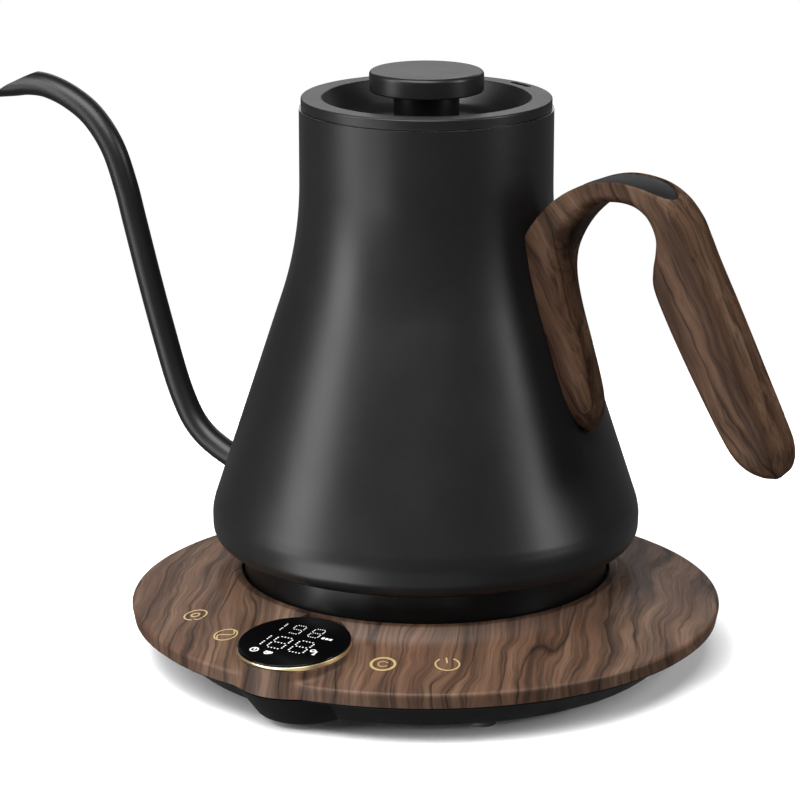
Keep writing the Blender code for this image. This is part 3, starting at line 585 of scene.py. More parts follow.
def walnut(name, turn, rise, shade=1.0, sheen=0.22):
    """Walnut figure. After the turn the grain runs along Y; rise is how fast it changes along Z."""
    finish = Finish(name, (0.08, 0.045, 0.026), 0.5, specular=sheen)
    spot = finish.place(turn)
    sway = finish.node("ShaderNodeTexNoise", {"Vector": spot, "Scale": 38.0, "Detail": 2.0})
    centred = finish.node("ShaderNodeVectorMath", {0: sway.outputs["Color"], 1: (0.5, 0.5, 0.5)},
                          operation="SUBTRACT").outputs[0]
    push = finish.node("ShaderNodeVectorMath", {0: centred, 1: (0.011, 0.0, 0.008 * rise)},
                       operation="MULTIPLY").outputs[0]
    swayed = finish.node("ShaderNodeVectorMath", {0: spot, 1: push}, operation="ADD").outputs[0]
    long = finish.node("ShaderNodeMapping", {"Vector": swayed, "Scale": (1.0, 0.08, rise)}).outputs[0]
    straight = finish.node("ShaderNodeMapping",
                           {"Vector": swayed, "Scale": (1.0, 0.035, rise)}).outputs[0]

    rings = finish.math("FRACT", finish.math("MULTIPLY", finish.noise(long, 46.0, 0.0), 6.0))
    bands = finish.noise(long, 120.0, 3.0, 0.6)
    fibres = finish.noise(straight, 1500.0, 3.0, 0.6)
    streaks = finish.noise(straight, 430.0, 3.0, 0.6)
    hues = finish.noise(long, 55.0, 1.0)

    def tone(*colour):
        return tuple(part * shade for part in colour)

    wood = finish.ramp(bands, [(0.32, tone(0.034, 0.018, 0.011)), (0.45, tone(0.078, 0.043, 0.026)),
                               (0.56, tone(0.118, 0.068, 0.042)), (0.70, tone(0.165, 0.105, 0.070))])
    wood = finish.mix(finish.range(hues, 0.35, 0.65, 0.0, 0.6), wood, tone(0.100, 0.050, 0.031))
    wood = finish.mix(finish.range(streaks, 0.46, 0.66, 0.0, 0.85), wood, tone(0.028, 0.015, 0.009))
    grown = finish.ramp(rings, [(0.0, (0.22, 0.18, 0.16)), (0.05, (0.88, 0.86, 0.85)),
                                (0.30, (1.06, 1.06, 1.06)), (0.88, (0.97, 0.96, 0.95)),
                                (0.97, (0.66, 0.62, 0.60)), (1.0, (0.26, 0.21, 0.19))])
    wood = finish.mix(1.0, wood, grown, "MULTIPLY")
    thread = finish.ramp(fibres, [(0.32, (0.62, 0.59, 0.57)), (0.48, (0.96, 0.96, 0.96)),
                                  (0.72, (1.18, 1.18, 1.18))])
    wood = finish.mix(0.85, wood, thread, "MULTIPLY")
    finish.set("Base Color", wood)
    finish.set("Roughness", finish.range(fibres, NOISE_LOW, NOISE_HIGH, 0.60, 0.46))
    finish.bump(finish.math("ADD", fibres, finish.math("MULTIPLY", rings, 0.25)), 0.10, FINE_BUMP)
    return finish.material


def black_glass():
    """Polished glass with a trace of wiping marks."""
    finish = Finish("black_glass", (0.0012, 0.0012, 0.0014), 0.06, specular=0.12)
    smear = finish.noise(finish.place((0.0, 0.0, 0.5), (1.0, 5.0, 1.0)), 60.0, 3.0)
    finish.set("Roughness", finish.range(smear, NOISE_LOW, NOISE_HIGH, 0.05, 0.10))
    return finish.material


def lit_segments():
    """The display's light, with faint changes of brightness."""
    finish = Finish("lit_segments", (0.3, 0.3, 0.3), 0.4)
    glow = finish.noise(finish.place(), 2500.0, 1.0)
    light = finish.ramp(glow, [(0.2, (0.85, 0.88, 0.92)), (0.7, (1.0, 1.0, 1.0))])
    finish.set("Emission Color", light)
    finish.shader.inputs["Emission Strength"].default_value = 0.8
    return finish.material


POWDER = powder_coat()
STEEL = steel()
GRAIN_TURN = (0.0, 0.0, math.radians(-22.0))
GRIP_TURN = (math.radians(90.0), 0.0, math.radians(31.6))
WALNUT = walnut("walnut_cover", GRAIN_TURN, 0.05, 0.80)
# The grip uses the cover's walnut at a lower shade: that extra darkening is painted shade, standing in
# for less light on the grip; the walnut tones under it are the wood's own colour.
WALNUT_GRIP = walnut("walnut_grip", GRIP_TURN, 0.8, 0.58, 0.06)
BLACK = plastic("black_plastic", (0.0035, 0.0035, 0.0037), 0.42, 0.55, specular=0.18)
GLOSSY = plastic("black_semi_gloss", (0.003, 0.003, 0.0031), 0.26, 0.32, 1400.0, 0.03, 0.2)
RUBBER = plastic("black_rubber", (0.02, 0.02, 0.02), 0.66, 0.8, 1200.0, 0.2)
PAD = plastic("soft_pad", (0.006, 0.006, 0.0063), 0.55, 0.65, 1300.0, 0.12, 0.15)
SILICONE = plastic("grey_silicone", (0.32, 0.32, 0.31), 0.5, 0.65, 600.0, 0.08)
GOLD = metal("satin_gold", (0.95, 0.78, 0.46), 0.29, 0.33)
INLAY = metal("inlaid_gold", (0.48, 0.36, 0.16), 0.40, 0.50, 0.45)
BRASS = metal("contact_brass", (0.80, 0.60, 0.32), 0.2, 0.35)
GLASS = black_glass()
LIT = lit_segments()
GREEN = plastic("solder_mask", (0.02, 0.14, 0.06), 0.3, 0.45, 300.0, 0.1)
GREY = plastic("relay_case", (0.09, 0.09, 0.1), 0.4, 0.5)
BLUE = plastic("capacitor_sleeve", (0.03, 0.06, 0.25), 0.25, 0.35)


# ---------------------------------------------------------------- base

def cover_level(radius):
    """Height of the cover's sloping top."""
    return RIM_LEVEL + (BASE_RADIUS - radius) * COVER_SLOPE


def cover_angles():
    """Angles around the base from its front, close together near the display."""
    front = -math.pi / 2
    slack = 1e-6
    angles = []
    angle = 0.0
    while angle < 2 * math.pi - slack:
        angles.append(front + angle)
        away = min(angle, 2 * math.pi - angle)
        angle += math.radians(0.45 if away < math.radians(20) - slack else 1.6)
    return angles


def base_cover():
    """The wood-look cover. Its turret grows out of it with a soft fillet."""
    wall = 2.2
    lip_foot = 66.8
    lip_radius = 62.2
    hub_radius = 17.0
    inside = BASE_RADIUS - wall
    top = [(BASE_RADIUS - 0.7, WOOD_LEVEL), (BASE_RADIUS, 17.6), (BASE_RADIUS, RIM_LEVEL, 1.1),
           (lip_foot, cover_level(lip_foot), 6.5), (lip_radius, LIP_LEVEL, 0.7),
           (SEAT_RADIUS, LIP_LEVEL, 0.5)]
    under = [(SEAT_RADIUS, SEAT_LEVEL), (hub_radius, SEAT_LEVEL), (hub_radius, SEAT_LEVEL - 2.5),
             (lip_radius, SEAT_LEVEL - 2.5), (66.0, cover_level(66.0) - wall),
             (inside, RIM_LEVEL - 1.6), (inside - 0.4, WOOD_LEVEL)]
    outline = divided(rounded(top + under), 0.6, 76.0, 96.0)
    outline = divided(outline, 1.2, 59.0, 76.5)
    solid = rounded(top + [(SEAT_RADIUS, SEAT_LEVEL), (0.0, SEAT_LEVEL), (0.0, 0.0),
                           (BASE_RADIUS - 0.7, 0.0)])
    cover = turned_distance(solid)
    column = cone_distance(TURRET_FOOT_RADIUS, WOOD_LEVEL, TURRET_TOP_RADIUS, DISPLAY_LEVEL)

    def fillet(points):
        """The fillet fades out where the turret's back runs into the lip."""
        reach = np.hypot(points[:, 0], points[:, 1])
        return 0.05 + 1.3 * np.clip((reach - 64.5) / 9.0, 0.0, 1.0)

    taper = (TURRET_TOP_RADIUS - TURRET_FOOT_RADIUS) / (DISPLAY_LEVEL - WOOD_LEVEL)
    rows = []
    levels = 24
    for level in range(levels + 1):
        row = []
        for angle in even_angles(240):
            high = DISPLAY_LEVEL - 0.8 + TURRET_TOP_RADIUS * math.sin(angle) * math.tan(DISPLAY_TILT)
            z = WOOD_LEVEL + (high - WOOD_LEVEL) * level / levels
            radius = TURRET_FOOT_RADIUS + taper * (z - WOOD_LEVEL)
            row.append(Vector((radius * math.cos(angle), radius * math.sin(angle) - DISPLAY_REACH, z)))
        rows.append(row)
    turret = loft(rows)
    mesh = boolean(lathe(outline, cover_angles()), [turret], "UNION")
    mesh = fillet_union(mesh, cover, column, fillet, WOOD_LEVEL)
    ring_floor = -2.2
    pocket = lathe([(0.0, -10.0), (16.0, -10.0), (16.0, ring_floor), (BAND_RADIUS + 0.6, ring_floor),
                    (BAND_RADIUS + 0.6, 6.0), (0.0, 6.0)], even_angles(192), DISPLAY)
    mesh = boolean(mesh, [pocket])
    piece = add("wood_cover", mesh, WALNUT, "base", "base_top_shell", weighted=False)
    shade_by_field(piece, cover, column, fillet)


def base_dish():
    """The black lower shell with the bowl under the turret."""
    outline = rounded([(0.0, FLOOR_LEVEL), (78.2, FLOOR_LEVEL, 1.5), (86.0, 10.3, 4.0),
                       (93.2, 13.0), (93.4, SEAM_LEVEL), (88.0, SEAM_LEVEL), (84.0, 12.2),
                       (77.0, FLOOR_LEVEL + 2.5), (0.0, FLOOR_LEVEL + 2.5)])
    bowl = rounded([(0.0, DISH_LOW.z), (14.6, DISH_LOW.z, 1.6), (18.4, SEAM_LEVEL - 0.1)], 6)[1:]
    rings = []
    for radius, level in bowl:
        reach = DISPLAY_REACH - 6.4 * (SEAM_LEVEL - level) / (SEAM_LEVEL - DISH_LOW.z)
        rings.append([Vector((radius * math.cos(angle), radius * math.sin(angle) - reach, level))
                      for angle in even_angles(192)])
    housing = prism(rounded([(-6.0, 78.5), (6.0, 78.5), (6.0, 93.2, 1.5), (-6.0, 93.2, 1.5)]),
                    4.2, SEAM_LEVEL - 0.1)
    mesh = boolean(lathe(divided(outline, 1.5, 76.0, 95.0), cover_angles()), [loft(rings), housing],
                   "UNION")
    holes = []
    for angle in SCREW_ANGLES:
        azimuth = math.radians(angle)
        place = upright(SCREW_CIRCLE * math.cos(azimuth), SCREW_CIRCLE * math.sin(azimuth))
        holes.append(lathe([(0.0, 0.0), (3.2, 0.0), (3.2, 4.1), (1.7, 4.1), (1.7, 7.0), (0.0, 7.0)],
                           even_angles(48), place))
    holes.append(lathe([(0.0, 76.0), (3.2, 76.0), (3.2, 100.0), (0.0, 100.0)], even_angles(48), GLAND))
    mesh = boolean(mesh, holes)
    add("lower_shell", mesh, BLACK, "base", "base_bottom_shell")


def display():
    """Black glass over the gold band."""
    turned("glass_disc", rounded([(0.0, -1.6), (15.6, -1.6), (15.6, -0.62),
                                  (GLASS_RADIUS, -0.62, 0.1), (GLASS_RADIUS, 0.0, 0.35),
                                  (0.0, 0.0)]),
           GLASS, "base", "display_glass", 160, DISPLAY)
    turned("gold_band", rounded([(15.9, -0.72), (BAND_RADIUS, -0.72, 0.12),
                                 (BAND_RADIUS, -2.1, 0.12), (16.4, -2.1), (16.4, -4.9),
                                 (15.9, -4.9)]),
           GOLD, "dial", "display_ring", 160, DISPLAY)


SEGMENTS = {"1": "bc", "8": "abcdefg", "9": "abcdfg"}
SEGMENT_ENDS = {"a": ((0, 2), (1, 2)), "b": ((1, 2), (1, 1)), "c": ((1, 1), (1, 0)),
                "d": ((0, 0), (1, 0)), "e": ((0, 1), (0, 0)), "f": ((0, 2), (0, 1)),
                "g": ((0, 1), (1, 1))}


LIT_LEVELS = (0.004, 0.02)


def dot(mesh, x, y, width, height):
    """A lit rectangle just above the glass."""
    rows = []
    for level in LIT_LEVELS:
        corners = [Vector((x + side * width / 2, y + up * height / 2, level))
                   for side, up in ((-1, -1), (1, -1), (1, 1), (-1, 1))]
        rows.append([mesh.verts.new(DISPLAY @ corner) for corner in corners])
    bridge(mesh, *rows)
    mesh.faces.new(rows[0])
    mesh.faces.new(rows[1])


def lit_line(mesh, points, width, closed=True):
    """A lit line just above the glass."""
    ribbon(mesh, points, width, *LIT_LEVELS, DISPLAY, closed)


def digit(mesh, sign, x, y, width, height, size):
    """A seven-segment digit of dots with its lower left corner at x, y."""
    for segment in SEGMENTS[sign]:
        (x0, y0), (x1, y1) = SEGMENT_ENDS[segment]
        level = y0 == y1
        for share in (0.17, 0.39, 0.61, 0.83) if level else (0.24, 0.5, 0.76):
            dot(mesh, x + (x0 + (x1 - x0) * share) * width, y + (y0 + (y1 - y0) * share) * height / 2,
                size, size if level else size * 1.25)


def display_digits():
    """Two rows of digits, three dots for a word, a degree ring and two small signs, all lit."""
    mesh = bmesh.new()
    for index, sign in enumerate("198"):
        digit(mesh, sign, -12.0 + index * 6.9, 4.4, 3.6, 5.7, 0.34)
    for index, sign in enumerate("188"):
        digit(mesh, sign, -13.7 + index * 7.75, -6.8, 5.2, 7.9, 0.46)
    for index in range(3):
        dot(mesh, 7.3 + index * 1.35, 5.1, 0.95, 1.1)
    lit_line(mesh, arc(0.75, 0, 345, 23, (9.2, -3.7)), 0.42)
    dot(mesh, 10.6, -4.6, 0.5, 2.0)
    dot(mesh, 10.6, -5.9, 0.9, 0.7)
    lit_line(mesh, arc(1.25, 0, 345, 23, (-8.1, -10.0)), 0.42)
    dot(mesh, -8.1, -9.6, 0.5, 1.4)
    lit_line(mesh, arc(0.9, 180, 360, 16, (-3.2, -10.3)) + [(-2.3, -9.5), (-4.1, -9.5)], 0.45)
    dot(mesh, -3.2, -10.1, 0.9, 0.9)
    lit_line(mesh, arc(0.55, -80, 80, 10, (-2.2, -10.0)), 0.35, closed=False)
    add("display_digits", mesh, LIT, "base")


def icon_place(sign):
    """Where a touch icon lies on the sloping cover."""
    reach, angle = ICONS[sign]
    azimuth = math.radians(angle)
    spot = upright(reach * math.sin(azimuth), -reach * math.cos(azimuth), cover_level(reach))
    return spot @ Matrix.Rotation(azimuth, 4, "Z") @ Matrix.Rotation(math.atan(COVER_SLOPE), 4, "X")


def arc(radius, start, end, steps=40, centre=(0.0, 0.0)):
    angles = [math.radians(start + (end - start) * step / steps) for step in range(steps + 1)]
    return [(centre[0] + radius * math.cos(angle), centre[1] + radius * math.sin(angle))
            for angle in angles]


def icons():
    """Gold lines set flush into the cover."""
    radius = ICON_RADIUS - 0.35
    ring = arc(radius, 0, 351, 39)
    wave = [(0.5 * radius * math.sin(2 * math.pi * step / 20), radius * (1 - step / 10) * 0.9)
            for step in range(21)]
    pointer = [(radius - 0.9, -1.6), (radius + 0.5, -0.7), (radius + 0.1, 0.8)]
    bar = [(0.0, 0.6), (0.0, radius + 0.2)]
    drawings = {
        "timer": ((arc(radius, 20, 320), 0.5, False), (arc(1.3, 0, 351, 39), 0.5, True),
                  (pointer, 0.45, False)),
        "preset": ((ring, 0.5, True), (wave, 0.45, False)),
        "hold": ((ring, 0.85, True), (arc(1.5, 30, 330), 0.3, False)),
        "power": ((arc(radius, 125, 415), 0.55, False), (bar, 0.5, False)),
    }
    for sign, strokes in drawings.items():
        mesh = bmesh.new()
        for points, width, closed in strokes:
            ribbon(mesh, points, width, -0.3, 0.05, icon_place(sign), closed)
        add(f"icon_{sign}", mesh, INLAY, "base", f"touch_icon_{sign}")


def feet_and_gland():
    """Rubber feet and the gland of the cord."""
    for number in range(1, 5):
        low, high = span(f"foot_{number}")
        centre = middle_of(f"foot_{number}")
        place = upright(centre.x, centre.y)
        radius = (high.x - low.x) / 2
        turned(f"rubber_foot_{number}", rounded([(0.0, 0.0), (radius, 0.0, 0.8), (radius, high.z),
                                                 (0.0, high.z)]),
               RUBBER, "base", f"foot_{number}", 64, place)
    end = span("cord_gland")[1].y
    turned("gland", rounded([(0.0, 80.0), (2.9, 80.0), (2.9, 93.6), (3.5, 93.6, 0.2),
                             (3.5, 94.8, 0.2), (3.1, 95.0), (3.1, 95.6), (3.5, 95.8, 0.2),
                             (3.3, end, 0.4), (2.0, end, 0.3), (2.0, 92.0), (0.0, 92.0)], 3),
           RUBBER, "base", "cord_gland", 64, GLAND)


def screw(name, node, head, shaft, neck, body):
    """A pan-head screw that points up, with a cross recess in its head."""
    low, high = span(node)
    length = high.z - low.z
    centre = middle_of(node)
    place = upright(centre.x, centre.y, low.z)
    mesh = lathe(rounded([(0.0, 0.0), (head, 0.0, 0.35), (head, neck), (shaft, neck),
                          (shaft, length - shaft), (0.0, length)], 4), even_angles(40), place)
    bars = []
    for turn in (0.0, math.pi / 2):
        bar = rounded([(-head * 0.55, -0.3, 0.2), (head * 0.55, -0.3, 0.2), (head * 0.55, 0.3, 0.2),
                       (-head * 0.55, 0.3, 0.2)], 3)
        bars.append(prism(bar, -1.0, neck * 0.7, place @ Matrix.Rotation(turn, 4, "Z")))
    add(name, boolean(mesh, bars), STEEL, body, node)


def screws():
    """All screws that can be seen from outside when the kettle is apart."""
    for number in range(1, 5):
        screw(f"shell_screw_{number}", f"base_screw_{number}", 2.8, 1.4, 1.0, "base")
    for number in range(1, 4):
        screw(f"foot_cover_screw_{number}", f"cover_screw_{number}", 2.8, 1.4, 0.8, "kettle")
    screw("lid_plate_screw", "lid_screw", 4.4, 1.6, 1.0, "lid")


def connectors():
    """Both halves of the cordless connector."""
    top = span("base_connector")[1].z
    turned("connector_base", rounded([
        (3.2, 14.0), (13.0, 14.0), (13.0, 19.5), (24.0, 19.5), (24.0, 22.8, 0.5),
        (16.0, 22.8), (16.0, top, 2.5), (10.8, top, 0.5), (10.8, 24.0), (8.0, 24.0),
        (8.0, top, 0.5), (3.2, top, 0.8)], 4), BLACK, "base", "base_connector", 96)
    turned("contact_pin", rounded([(0.0, 12.5), (2.2, 12.5), (2.2, 33.6, 1.2), (0.0, 33.6)]),
           BRASS, "base", "connector_pin", 48)
    turned("contact_ring", rounded([(8.6, 24.4), (9.8, 24.4), (9.8, 31.0, 0.3),
                                    (8.6, 31.0, 0.3)], 3),
           BRASS, "base", "connector_ring", 96)
    turned("connector_kettle", rounded([
        (16.8, COVER_FOOT, 0.3), (21.4, COVER_FOOT, 0.6), (21.4, 32.0), (20.0, 32.0),
        (20.0, PLATE_LEVEL - 0.6), (0.0, PLATE_LEVEL - 0.6), (0.0, 36.0),
        (16.8, 36.0, 1.5)], 4), BLACK, "connector", "kettle_connector", 96)


# ---------------------------------------------------------------- kettle

def body_radius(height):
    """Outer radius of the kettle body: straight cone, bend and neck."""
    middle = 136.5
    reach = 19.0
    bend = 118.0
    if height > middle + reach:
        return NECK_RADIUS
    if height > middle - reach * 0.95:
        level = middle + reach - height
        return NECK_RADIUS + bend - math.sqrt(bend ** 2 - level ** 2)
    return NECK_RADIUS + CONE_TAN * (middle - height)


def body_outline(grow, low):
    """Profile of the body from its top down to low, moved out by grow."""
    heights = [165.0, 155.5, *[155.5 - 1.9 * step for step in range(1, 20)], 100.0, 80.0, 60.0]
    line = [(body_radius(height) + grow, height) for height in heights]
    corner = rounded([(body_radius(58.0), 58.0), (body_radius(52.0), 52.0, 13.0),
                      (BODY_RADIUS, 48.6, 13.0), (BODY_RADIUS - 0.3, BODY_FOOT, 5.6),
                      (62.0, BODY_FOOT)], 10)
    shoulder = [(radius + grow, max(height - grow, low)) for radius, height in corner[1:-1]]
    return [(NECK_RADIUS + grow, BODY_TOP), *line, *shoulder]


def kettle_shell():
    """Powder-coated outside and plain steel inside."""
    wall = 1.0
    outside = body_outline(0.0, BODY_FOOT)
    inside = body_outline(-wall, BODY_FOOT + wall)
    foot = [(57.5, BODY_FOOT), (57.5, BODY_FOOT + wall)]
    profile = outside + foot + inside[::-1]
    mesh = lathe(profile, even_angles(224), inside=len(outside) + len(foot))
    line = [Vector((-63.2, 0.0, 49.8)), Vector((-77.0, 0.0, 54.7))]
    hole = loft(sections(line, [3.3, 3.3], 48))
    add("body_shell", boolean(mesh, [hole]), [POWDER, STEEL], "kettle", "kettle_body",
        40.0)


def kettle_underside():
    """The black foot, the heating plate and the probe."""
    radius = 58.5
    top = BODY_FOOT - 0.3
    holes = []
    for number in range(1, 4):
        centre = middle_of(f"cover_screw_{number}")
        place = upright(centre.x, centre.y)
        holes.append(lathe([(0.0, 20.0), (3.2, 20.0), (3.2, COVER_FOOT + 1.2), (1.7, COVER_FOOT + 1.2),
                            (1.7, 30.0), (0.0, 30.0)], even_angles(48), place))
    ribs = rounded([
        (22.0, COVER_FOOT, 0.3), (54.0, COVER_FOOT), (54.4, COVER_FOOT + 0.5),
        (55.2, COVER_FOOT + 0.5), (55.6, COVER_FOOT), (radius, COVER_FOOT, 1.2),
        (radius, top, 0.5), (radius - 2.0, top), (radius - 2.0, COVER_FOOT + 2.0),
        (22.0, COVER_FOOT + 2.0)], 5)
    mesh = boolean(lathe(ribs, even_angles(192)), holes)
    add("foot_cover", mesh, GLOSSY, "kettle", "bottom_cover")

    plate = rounded([(0.0, PLATE_LEVEL), (60.0, PLATE_LEVEL), (60.0, PLATE_LEVEL + 2.0, 0.6),
                     (43.0, PLATE_LEVEL + 2.0), (42.4, PLATE_LEVEL + 1.7),
                     (33.6, PLATE_LEVEL + 1.7), (33.0, PLATE_LEVEL + 2.0),
                     (0.0, PLATE_LEVEL + 2.0)], 4)
    low, high = span("temperature_probe")
    spot = upright(middle_of("temperature_probe").x, 0.0)
    mesh = boolean(lathe(plate, even_angles(160)),
                   [lathe([(0.0, 36.0), (2.3, 36.0), (2.3, 50.0), (0.0, 50.0)],
                          even_angles(40), spot)])
    add("boiling_plate", mesh, STEEL, "kettle", "heating_plate")
    turned("probe", rounded([(0.0, low.z), (4.0, low.z), (4.0, PLATE_LEVEL - 0.3),
                             (2.0, PLATE_LEVEL - 0.3), (2.0, high.z, 1.4), (0.0, high.z)]),
           STEEL, "kettle", "temperature_probe", 48, spot)


SPOUT_LINE = [(-66.0, 50.8), (-73.4, 53.4), (-80.2, 56.5), (-85.9, 60.2), (-90.6, 65.4),
              (-94.8, 73.5), (-98.5, 83.4), (-105.6, 105.9), (-112.3, 129.0), (-115.9, 141.4),
              (-120.9, 153.7), (-128.4, 163.1), (-137.3, 168.7), (-146.6, 171.7),
              (-154.3, 172.0), (-160.8, 171.0), (-170.5, 169.6)]
SPOUT_OUTER = 4.05
SPOUT_INNER = 3.3
BEAK_EDGE = [(-144.0, 179.0), (-150.3, 176.5), (-153.8, 174.9), (-157.4, 173.1), (-160.9, 171.4),
             (-163.6, 169.8), (-165.4, 168.6), (-166.3, 167.7), (-166.7, 166.6), (-166.8, 160.0)]


def spout():
    """The swan neck, welded to the body with a small flare and cut to a curved beak."""
    line = [Vector((x, 0.0, z)) for x, z in smooth(SPOUT_LINE, 10)]
    start = line[0]
    mesh = bmesh.new()
    skins = []
    for radius, flare in ((SPOUT_OUTER, 2.2), (SPOUT_INNER, 0.0)):
        radii = []
        for point in line:
            reach = max((point - start).length - 2.5, 0.0)
            radii.append(radius + flare * math.exp(-(reach / 2.4) ** 1.4))
        rows = [[mesh.verts.new(point) for point in ring] for ring in sections(line, radii, 48)]
        for first, second in zip(rows, rows[1:]):
            bridge(mesh, first, second)
        skins.append(rows)
    bridge(mesh, skins[0][0], skins[1][0])
    bridge(mesh, skins[0][-1], skins[1][-1])
    edge = [tuple(point) for point in smooth(BEAK_EDGE[:-1], 4)] + BEAK_EDGE[-1:]
    edge += [(-180.0, 160.0), (-180.0, 190.0), (-144.0, 190.0)]
    cutter = loft([[Vector((x, side, z)) for x, z in edge] for side in (-10, 10)])
    add("swan_neck", boolean(mesh, [cutter]), POWDER, "kettle", "spout_tube")


# ---------------------------------------------------------------- handle

# Gap side and back side as (x, z), and the width, from the strip on the body to the end of the grip
HANDLE = [
    ((60.0, 82.0), (58.4, 82.6), 3.0),
    ((62.0, 84.8), (56.4, 86.0), 9.0),
    ((62.8, 89.2), (54.4, 90.8), 12.6),
    ((61.9, 95.8), (51.5, 98.5), 14.6),
    ((58.3, 108.7), (46.8, 112.0), 15.0),
    ((54.6, 121.1), (42.4, 125.0), 15.2),
    ((52.7, 130.5), (39.4, 135.5), 15.8),
    ((52.7, 138.2), (39.4, 142.7), 16.6),
    ((55.1, 145.3), (43.0, 148.7), 17.4),
    ((59.3, 151.5), (49.8, 156.1), 17.8),
    ((65.0, 156.3), (58.5, 161.5), 18.0),
    ((71.4, 157.5), (69.0, 164.2), 17.8),
    ((77.3, 156.5), (79.9, 163.1), 17.8),
    ((81.8, 152.9), (87.6, 159.3), 17.8),
    ((84.3, 148.1), (93.0, 153.4), 17.8),
    ((84.4, 143.3), (96.0, 147.6), 17.8),
    ((83.7, 137.9), (98.4, 142.3), 17.9),
    ((84.2, 132.4), (100.8, 137.3), 18.1),
    ((88.6, 123.2), (104.4, 129.9), 18.7),
    ((95.2, 111.3), (109.6, 118.9), 19.4),
    ((101.9, 99.9), (115.5, 106.5), 19.9),
    ((108.9, 88.5), (121.8, 93.6), 20.0),
    ((112.9, 83.1), (124.9, 87.0), 19.4),
    ((116.8, 79.7), (126.1, 82.2), 17.0),
    ((120.3, 77.8), (126.1, 79.1), 12.2),
    ((122.9, 77.1), (124.9, 77.2), 5.0),
]
# The pad's start and end, counted in stations of HANDLE
PAD_START = 9.7
PAD_END = 13.0
PAD_WIDTH = 16.2
PAD_DEPTH = 1.6
EDGE_BEVEL = 0.6
STRIP_END = 84.0
STRIP_BLEND = 22.0
GRIP_SOFT = 3.0


def handle_outline(half, depth, soft):
    """Half a section as (side, level): soft on the gap side, bevelled along a nearly flat back."""
    points = []
    for step in range(11):
        angle = math.radians(9 * step)
        points.append((half - soft + soft * math.sin(angle), soft - soft * math.cos(angle)))
    for share in (0.33, 0.66, 1.0):
        points.append((half, soft + (depth - EDGE_BEVEL - soft) * share))
    flat = half - EDGE_BEVEL
    for step in range(8):
        share = step / 8
        points.append((flat * (1 - share), depth - 0.15 * (1 - share) ** 2))
    points.append((0.0, depth))
    return points


def standing(flat, base, direction):
    """Section points (side, level) stood on the handle's plane at base, along direction."""
    ring = []
    for side, level in flat:
        place = base + direction * level
        ring.append(Vector((place.x, side, place.y)))
    return ring


def handle_ring(gap_side, back_side, width):
    """One section of the handle. The strip on the body is softer than the grip."""
    across = back_side - gap_side
    half = width / 2
    strip = min(max((STRIP_END - gap_side.x) / STRIP_BLEND, 0.0), 1.0)
    soft = GRIP_SOFT + max(half * 0.92 - GRIP_SOFT, 0.0) * strip
    soft = min(soft, half * 0.95, across.length * 0.45)
    side_half = handle_outline(half, across.length, soft)
    flat = side_half + [(-side, level) for side, level in side_half[-2:0:-1]] + [(soft - half, 0.0)]
    return standing(flat, gap_side, across.normalized())


def handle_stations(first, last, spans):
    """Smoothed stations (gap side, back side, width) between two places in HANDLE."""
    gap_line = smooth([pair[0] for pair in HANDLE], spans)
    back_line = smooth([pair[1] for pair in HANDLE], spans)
    widths = smooth([(pair[2], 0.0) for pair in HANDLE], spans)
    rows = zip(gap_line, back_line, widths)
    return [(gap_point, back_point, width.x)
            for index, (gap_point, back_point, width) in enumerate(rows)
            if first <= index / spans <= last]


def pad_breadth(part):
    """Share of the pad's full width at a part of its length: round at both ends."""
    from_start = max(1 - part / 0.4, 0.0)
    from_end = max(1 - (1 - part) / 0.45, 0.0)
    return math.sqrt(max(1 - from_start ** 2.2 - from_end ** 2.6, 0.0))


def pad_rings(spread, sink, lift, crown):
    """Rings of the lens-shaped pad along the arch, spread sideways and sunk below the back."""
    stations = handle_stations(PAD_START, PAD_END, 16)
    rings = []
    for index, (gap_side, back_side, _) in enumerate(stations):
        part = index / (len(stations) - 1)
        half = PAD_WIDTH / 2 * pad_breadth(min(max(part, 0.005), 0.995)) + spread
        flat = [(-half, -sink), (half, -sink)]
        for step in range(13):
            across = 1 - step / 6
            flat.append((half * across, lift - crown * abs(across) ** 2.5))
        rings.append(standing(flat, back_side, (back_side - gap_side).normalized()))
    return rings


def handle():
    """The wood-look handle, its recess and its soft pad."""
    rings = [handle_ring(*station) for station in handle_stations(0, len(HANDLE), 8)]
    outline = body_outline(0.3, BODY_FOOT)
    envelope = lathe([(0.0, BODY_TOP), *outline, (0.0, BODY_FOOT)], even_angles(192))
    recess = loft(pad_rings(0.15, PAD_DEPTH + 0.2, 3.0, 0.0))
    mesh = boolean(loft(rings), [envelope, recess])
    add("grip", mesh, WALNUT_GRIP, "kettle", "handle", 28.0)
    add("pad", loft(pad_rings(0.0, PAD_DEPTH, 0.1, 0.9)), PAD, "kettle", "thumb_pad")


# ---------------------------------------------------------------- lid

def slot_prism(reach, low, high):
    """The steam slot's shape at one distance from the axis."""
    outline = rounded([(-1.0, -5.0, 0.95), (1.0, -5.0, 0.95), (1.0, 5.0, 0.95), (-1.0, 5.0, 0.95)])
    return prism(outline, low, high, Matrix.Rotation(VENT_ANGLE, 4, "Z") @ upright(reach, 0.0))


